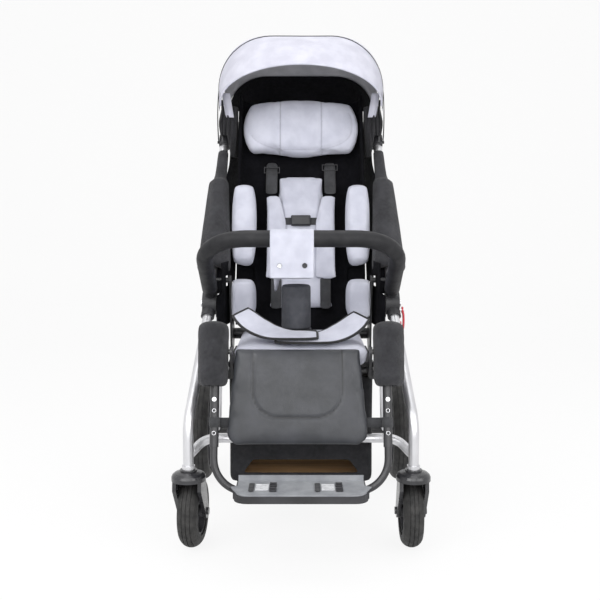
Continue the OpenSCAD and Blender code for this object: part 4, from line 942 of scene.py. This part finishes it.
# Bumper bar foam: the thick round grip moulded over the bent bar.
# Closed-cell foam with a smooth skin, slightly worn along the top.
foam_skin, tree, shader = grained("foam_skin", (0.012, 0.012, 0.014), 0.6,
    tint=((22, 5), (0.007, 0.007, 0.009), (0.016, 0.016, 0.018)),
    wear=((60, 4), 0.46, 0.62), grain=((1100, 3), 0.0004, 0.45))
shader.inputs["Specular IOR Level"].default_value = 0.3
reach = Vector((0, -0.835, 0.55)).normalized()
socket = Vector((0.233, 0.232 - stem_y, 0.598))
start, front, bend_r = socket + reach * 0.0342, socket + reach * 0.281, 0.105
across = Vector((1, 0, 0)).cross(reach)
bm = bmesh.new()
bmesh.ops.create_circle(bm, segments=36, radius=0.0198)
upright = Matrix((Vector((1, 0, 0)), across, reach)).transposed().to_4x4()
shift_all(bm, Matrix.Translation(start) @ upright)
ends = bm.edges[:]


def push_on(edges, way, steps):
    for _ in range(steps):
        grown = bmesh.ops.extrude_edge_only(bm, edges=edges)
        fresh = verts_of(grown)
        bmesh.ops.translate(bm, verts=fresh, vec=way / steps)
        edges = [g for g in grown["geom"]
                 if isinstance(g, bmesh.types.BMEdge) and all(v in fresh for v in g.verts)]
    return edges


def bend_on(edges, cent, angle, steps):
    rim = list({v for e in edges for v in e.verts})
    spun = bmesh.ops.spin(bm, geom=rim + edges, cent=cent, axis=across, angle=angle, steps=steps)
    return [g for g in spun["geom_last"] if isinstance(g, bmesh.types.BMEdge)]


straight = (front - start).length - bend_r
ends = push_on(ends, reach * straight, 10)
ends = bend_on(ends, start + reach * straight - Vector((bend_r, 0, 0)), math.pi / 2, 14)
ends = push_on(ends, Vector((-2 * (socket.x - bend_r), 0, 0)), 14)
ends = bend_on(ends, Vector((bend_r - socket.x, start.y, start.z)) + reach * straight, math.pi / 2, 14)
ends = push_on(ends, -reach * straight, 10)
bmesh.ops.holes_fill(bm, edges=[e for e in bm.edges if e.is_boundary], sides=0)
face_out(bm)
foam = put_in_scene(bm, "bumper_foam_grip", foam_skin)
settle(foam, "bumper", "bumper_foam")


# Bumper flap: the light cloth wrapped over the bar, hanging in front with two snaps.
# Knit over felt, doubled along its lower hem.
low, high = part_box("bumper_flap")
bar_y, bar_z = front.y, front.z
flap_wide = high[0] - low[0] - 0.002
wrap = [(bar_y + 0.0222 * math.sin(a), bar_z + 0.0222 * math.cos(a))
        for a in [math.radians(150 - 240 * k / 22) for k in range(23)]]
drop = [(bar_y - 0.0218 - 0.0015 * math.sin(k * 0.5), bar_z - 0.008 - (bar_z - 0.010 - low[2]) * k / 12)
        for k in range(1, 13)]
bm = bmesh.new()
edge = [bm.verts.new((low[0] + 0.001, y, z)) for y, z in wrap + drop]
rows = [bm.edges.new((edge[k], edge[k + 1])) for k in range(len(edge) - 1)]
push_on(rows, Vector((flap_wide, 0, 0)), 12)
face_out(bm)
if sum(f.normal.y for f in bm.faces if f.calc_center_median().z < bar_z - 0.03) > 0:
    bmesh.ops.reverse_faces(bm, faces=bm.faces[:])
flap_area = area_of(bm)
flap = put_in_scene(bm, "bumper_flap_cloth", light_knit)
thicken(flap, 0.0022, -1)
smooth_over(flap)
settle(flap, "bumper", "bumper_flap")
bm = flat_grid(16, 18)
for v in bm.verts:
    t = (v.co.y + 1) / 2
    x = (low[0] + high[0]) / 2 - 0.001 + v.co.x * (0.0480 - 0.0030 * t)
    corner = max(0.0, min(1.0, (-0.054 - x) / 0.008)) * max(0.0, (t - 0.75) / 0.25)
    v.co = Vector((x, bar_y - 0.010 + 0.208 * t - 0.002 * math.sin(6 * v.co.x) * t,
                   0.700 - 0.112 * t + 0.058 * t * t - 0.034 * corner))
face_out(bm)
tail_area = area_of(bm)
tail = put_in_scene(bm, "bumper_flap_tail", light_knit)
thicken(tail, 0.0018)
settle(tail, "bumper")
for k, (x, mat) in enumerate(((-0.0495, bright_steel), (0.0085, black_nylon))):
    bm = bmesh.new()
    bmesh.ops.create_cone(bm, cap_ends=True, segments=28, radius1=0.0062, radius2=0.0050, depth=0.0022)
    top = [f for f in bm.faces if f.normal.z > 0.9]
    bmesh.ops.inset_region(bm, faces=top, thickness=0.0018, depth=-0.0008)
    shift_all(bm, Matrix.Translation((x, bar_y - 0.0228, low[2] + 0.031)) @ turned_up)
    snap = put_in_scene(bm, "flap_snap_%d" % (k + 1), mat, smooth=False)
    settle(snap, "bumper")


# Lock lever: the red hook on the right fold housing.
# Glossy moulded plastic, so that it is seen at once.
lever_red, tree, shader = plain_finish("lever_red", (0.50, 0.028, 0.042), 0.25)
shader.inputs["Coat Weight"].default_value = 0.4
tint_between(tree, shader, noise_on(tree, 40, 3), (0.42, 0.022, 0.034), (0.56, 0.034, 0.05))
rough_between(tree, shader, noise_on(tree, 150, 3), 0.18, 0.34)
pin = Vector((0, 0.225 - stem_y, 0.560))
hook_line = [(0.2640, -0.004), (0.2655, -0.012), (0.2662, -0.024), (0.2662, -0.036), (0.2652, -0.047),
             (0.2632, -0.0535), (0.2610, -0.0545), (0.2591, -0.0500), (0.2580, -0.0410), (0.2577, -0.0300)]
hook = tape_along("lever_hook", [pin + Vector((x, 0, z)) for x, z in hook_line], 0.0031, lever_red,
                  closed=False)
bm = bmesh.new()
eye_rim = ((0.0044, 0.2603), (0.0082, 0.2603), (0.0088, 0.2609), (0.0088, 0.2642), (0.0082, 0.2648),
           (0.0044, 0.2648))
turn_round(bm, eye_rim, 32, Matrix.Translation(pin) @ Matrix.Rotation(math.radians(90), 4, "Y"))
face_out(bm)
eye = put_in_scene(bm, "lever_eye", lever_red)
for piece in (hook, eye):
    settle(piece, "lever", "lock_lever")


# Canopy: a fixed rear panel, a black curtain behind it and a visor that swings over it.
# Light woven cloth on sprung hoops, lined in grey and gathered in black at the cheeks.
# The visor turns on the clamps' pins.
clamp = Vector((0, 0.536 - stem_y, 1.010))


def hood_section(half, radius, wide, high, low_r):
    """Half hoop from cheek to cheek: upright cheeks and elliptic corners under a flat crown."""
    left = [(-half, low_r + (radius - high - low_r) * k / 5) for k in range(5)]
    left += [(-half + wide * (1 - math.cos(a)), radius - high * (1 - math.sin(a)))
             for a in [math.radians(90 * k / 12) for k in range(13)]]
    crown = [(left[-1][0] * (1 - 2 * k / 10), radius) for k in range(1, 10)]
    return left + crown + [(-x, r) for x, r in reversed(left)]


def hood_point(front, rear, front_deg, back_deg, u, t, sag=0.0, wave=0.0):
    """Point of a hood at u from cheek to cheek and t from its front hoop to its rear hoop."""
    spot = u * (len(front) - 1)
    k = min(int(spot), len(front) - 2)
    x, r = [(1 - t) * (front[k][c] + (spot - k) * (front[k + 1][c] - front[k][c]))
            + t * (rear[k][c] + (spot - k) * (rear[k + 1][c] - rear[k][c])) for c in (0, 1)]
    slack = min(1.0, max(0.0, (r - 0.12) / 0.1)) * (1 + 0.35 * math.sin(38 * x + 5 * t))
    r -= sag * math.sin(math.pi * t) * slack
    a = math.radians(front_deg + (back_deg - front_deg) * t + wave * t ** 4 * math.sin(47 * x))
    return clamp + Vector((x, -r * math.sin(a), r * math.cos(a)))


def hood_cloth(name, node, part, front, rear, front_deg, back_deg, mat, inner, rim, sag=0.004, wave=0.0):
    bm = flat_grid(len(front) - 1, max(6, int((front_deg - back_deg) / 3)))
    for v in bm.verts:
        v.co = hood_point(front, rear, front_deg, back_deg, (v.co.x + 1) / 2, (v.co.y + 1) / 2, sag, wave)
    face_out(bm)
    if sum(f.normal.dot(f.calc_center_median() - clamp) for f in bm.faces) < 0:
        bmesh.ops.reverse_faces(bm, faces=bm.faces[:])
    area = area_of(bm)
    cloth = put_in_scene(bm, name, mat)
    cloth.data.materials.append(inner)
    skin = thicken(cloth, 0.0022, -1)
    skin.material_offset = 1
    skin.material_offset_rim = rim
    smooth_over(cloth)
    settle(cloth, part, node)
    return cloth


light_canopy = soft_cloth("light_canopy", (0.56, 0.56, 0.65), (0.66, 0.66, 0.75), 620, 0.2)
grey_lining = soft_cloth("grey_lining", (0.36, 0.36, 0.39), (0.45, 0.45, 0.48), 620, 0.1)
panel_hoop = hood_section(0.2165, 0.2898, 0.112, 0.146, 0.082)
rear = hood_cloth("canopy_rear_cloth", "canopy_rear_panel", "chassis", panel_hoop, panel_hoop, 10, -44,
                  light_canopy, grey_lining, 1, wave=1.2)
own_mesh(rear)
under_hoop = hood_section(0.2130, 0.2862, 0.110, 0.144, 0.084)
# The curtain takes the black darkened as painted shade on both faces.
hood_cloth("canopy_curtain_cloth", "canopy_curtain", "chassis", under_hoop, panel_hoop, -41.5, -62,
           black_in_painted_shade, black_in_painted_shade, 0, sag=0.0)
visor_front = hood_section(0.2210, 0.2945, 0.2205, 0.144, 0.146)
visor_span = (51, 6)
visor_rear = hood_section(0.2347, 0.2947, 0.130, 0.150, 0.085)
hood_cloth("canopy_visor_cloth", "canopy_visor", "visor", visor_front, visor_rear, *visor_span,
           light_canopy, grey_lining, 0, sag=0.001)
hem = [hood_point(visor_front, visor_rear, *visor_span, k / 60, 0.012) for k in range(61)]
piping = [hood_point(visor_front, visor_rear, *visor_span, k / 60, 0.80, sag=-0.0012) for k in range(61)]
for name, line, radius, mat, slot in (("visor_hem", hem, 0.0028, light_canopy, "light_fabric"),
                                      ("visor_piping", piping, 0.0011, binding_black, "black_fabric")):
    cord = tape_along(name, line, radius, mat, closed=False)
    settle(cord, "visor")
for side, hand in both_sides:
    reach_out = Matrix.Translation(clamp) @ Matrix.Rotation(math.radians(42), 4, "X")
    bm = flat_grid(3, 16)
    for v in bm.verts:
        r = 0.0880 + 0.0830 * v.co.y
        v.co = reach_out @ Vector((side * (0.2364 - 0.0105 * (r / 0.17) ** 2), 0.0075 * v.co.x, r))
    strip = put_in_scene(bm, "visor_strip_" + hand, black_cloth)
    thicken(strip, 0.0018)
    settle(strip, "visor", "canopy_visor")
    bm = flat_grid(40, 18)
    for v in bm.verts:
        u, t = v.co.x, (v.co.y + 1) / 2
        pleat = math.sin(17 * u + 2.5 * math.sin(3 * t))
        swollen = math.sqrt(max(0.0, 1 - u * u)) * (0.55 + 0.45 * math.sin(math.pi * t))
        fall = 0.082 + 0.062 * max(0.0, min(1.0, (0.10 - u) / 0.35))
        spread = 0.0272 - 0.0090 * max(0.0, 2 * t - 1) - 0.0040 * max(0.0, 1 - 3 * t)
        aside = u * (spread if u > 0 else 0.0265)
        v.co = Vector((side * (0.2058 + aside), 0.1675 + 0.020 * max(0.0, (-u - 0.6) / 0.4) - 0.030 * swollen
                       - 0.0032 * pleat * (1 - u ** 8), 1.109 - fall * (1 - t)))
    face_out(bm)
    area = area_of(bm)
    ear = put_in_scene(bm, "canopy_gather_" + hand, black_cloth)
    thicken(ear, 0.0016)
    smooth_over(ear)
    settle(ear, "chassis", "canopy_curtain")
    edge = [(side * (0.2080 - 0.010 * k / 14), 0.1290 + 0.012 * (k / 14) ** 2, 1.142 - 0.066 * k / 14)
            for k in range(15)]
    bm = bmesh.new()
    draw_out(bm, [(x + side * 0.0020 - 0.0115, y, z) for x, y, z in edge], (0.023, 0, 0))
    face_out(bm)
    trim = put_in_scene(bm, "gather_trim_" + hand, light_canopy)
    thicken(trim, 0.0014)
    settle(trim, "chassis")


# Push handle grip: a foam sleeve on the cross bar of the handle.
# Closed-cell foam with rounded ends and faint finger ribs.
low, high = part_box("handle_grip")
bm = bmesh.new()
outline = [(0.0102, -0.1098), (0.0150, -0.1098), (0.0166, -0.108)]
outline += [(0.0167 - 0.0005 * (k % 2), -0.104 + 0.208 * k / 26) for k in range(27)]
outline += [(0.0166, 0.108), (0.0150, 0.1098), (0.0102, 0.1098)]
turn_round(bm, outline, 36)
face_out(bm)
shift_all(bm, Matrix.Translation((0, (low[1] + high[1]) / 2, (low[2] + high[2]) / 2))
          @ Matrix.Rotation(math.radians(90), 4, "Y"))
grip = put_in_scene(bm, "handle_foam_grip", foam_skin)
settle(grip, "handle", "handle_grip")


# Studio: a pale floor that runs up behind the buggy, soft lamps and the camera of the photo.
# The buggy is seen from in front at a little below its middle height.
bm = bmesh.new()
sweep = [(-4, 0), (3.0, 0), (3.6, 0.16), (4.0, 0.6), (4.1, 1.4), (4.1, 6)]
draw_out(bm, [(-6, y, z) for y, z in sweep], (12, 0, 0))
paper, tree, shader = plain_finish("studio_paper", (0.86, 0.86, 0.86), 0.9)
lit = tree.nodes.new("ShaderNodeEmission")
lit.inputs["Color"].default_value = (1, 1, 1, 1)
lit.inputs["Strength"].default_value = 1.0


def seen_rays(tree):
    """1 for rays from the camera and for those that gloss or glass sends on, 0 for light on the object."""
    rays = tree.nodes.new("ShaderNodeLightPath").outputs
    return joined(tree, "MAXIMUM", rays["Is Camera Ray"], rays["Is Glossy Ray"], rays["Is Transmission Ray"])


share = tree.nodes.new("ShaderNodeMath")
share.operation = "MULTIPLY"
share.inputs[1].default_value = 0.88
tree.links.new(seen_rays(tree), share.inputs[0])
blend_in = tree.nodes.new("ShaderNodeMixShader")
tree.links.new(share.outputs[0], blend_in.inputs["Fac"])
tree.links.new(shader.outputs["BSDF"], blend_in.inputs[1])
tree.links.new(lit.outputs["Emission"], blend_in.inputs[2])
tree.links.new(blend_in.outputs["Shader"], tree.nodes["Material Output"].inputs["Surface"])
floor = put_in_scene(bm, "studio_floor", paper)

world = bpy.data.worlds.new("studio")
bpy.context.scene.world = world
world.use_nodes = True
world.node_tree.nodes["Background"].inputs["Color"].default_value = (1, 1, 1, 1)
level = world.node_tree.nodes.new("ShaderNodeMapRange")
level.inputs["To Min"].default_value = 0.58
level.inputs["To Max"].default_value = 1.0
world.node_tree.links.new(seen_rays(world.node_tree), level.inputs["Value"])
world.node_tree.links.new(level.outputs["Result"], world.node_tree.nodes["Background"].inputs["Strength"])
lit_point = Vector((0, 0, 0.6))
for name, spot, size, power in (("key", (-1.5, -2.4, 2.4), 1.8, 44), ("fill", (1.9, -2.3, 1.6), 1.8, 28),
                                ("front", (0, -3.4, 1.3), 1.6, 26), ("top", (0, 0.2, 3.4), 2.4, 34)):
    lamp = bpy.data.lights.new(name, "AREA")
    lamp.size = size
    lamp.energy = power
    lamp_object = bpy.data.objects.new(name, lamp)
    lamp_object.location = spot
    lamp_object.rotation_euler = (lit_point - Vector(spot)).to_track_quat("-Z", "Y").to_euler()
    bpy.context.scene.collection.objects.link(lamp_object)

lens = bpy.data.cameras.new("camera")
lens.lens = 53.9
camera = bpy.data.objects.new("camera", lens)
camera.location = (-0.0024, -2.43095, 0.829)
camera.rotation_euler = (math.radians(84), 0, 0)
bpy.context.scene.collection.objects.link(camera)
bpy.context.scene.camera = camera
bpy.context.scene.view_settings.view_transform = "Standard"
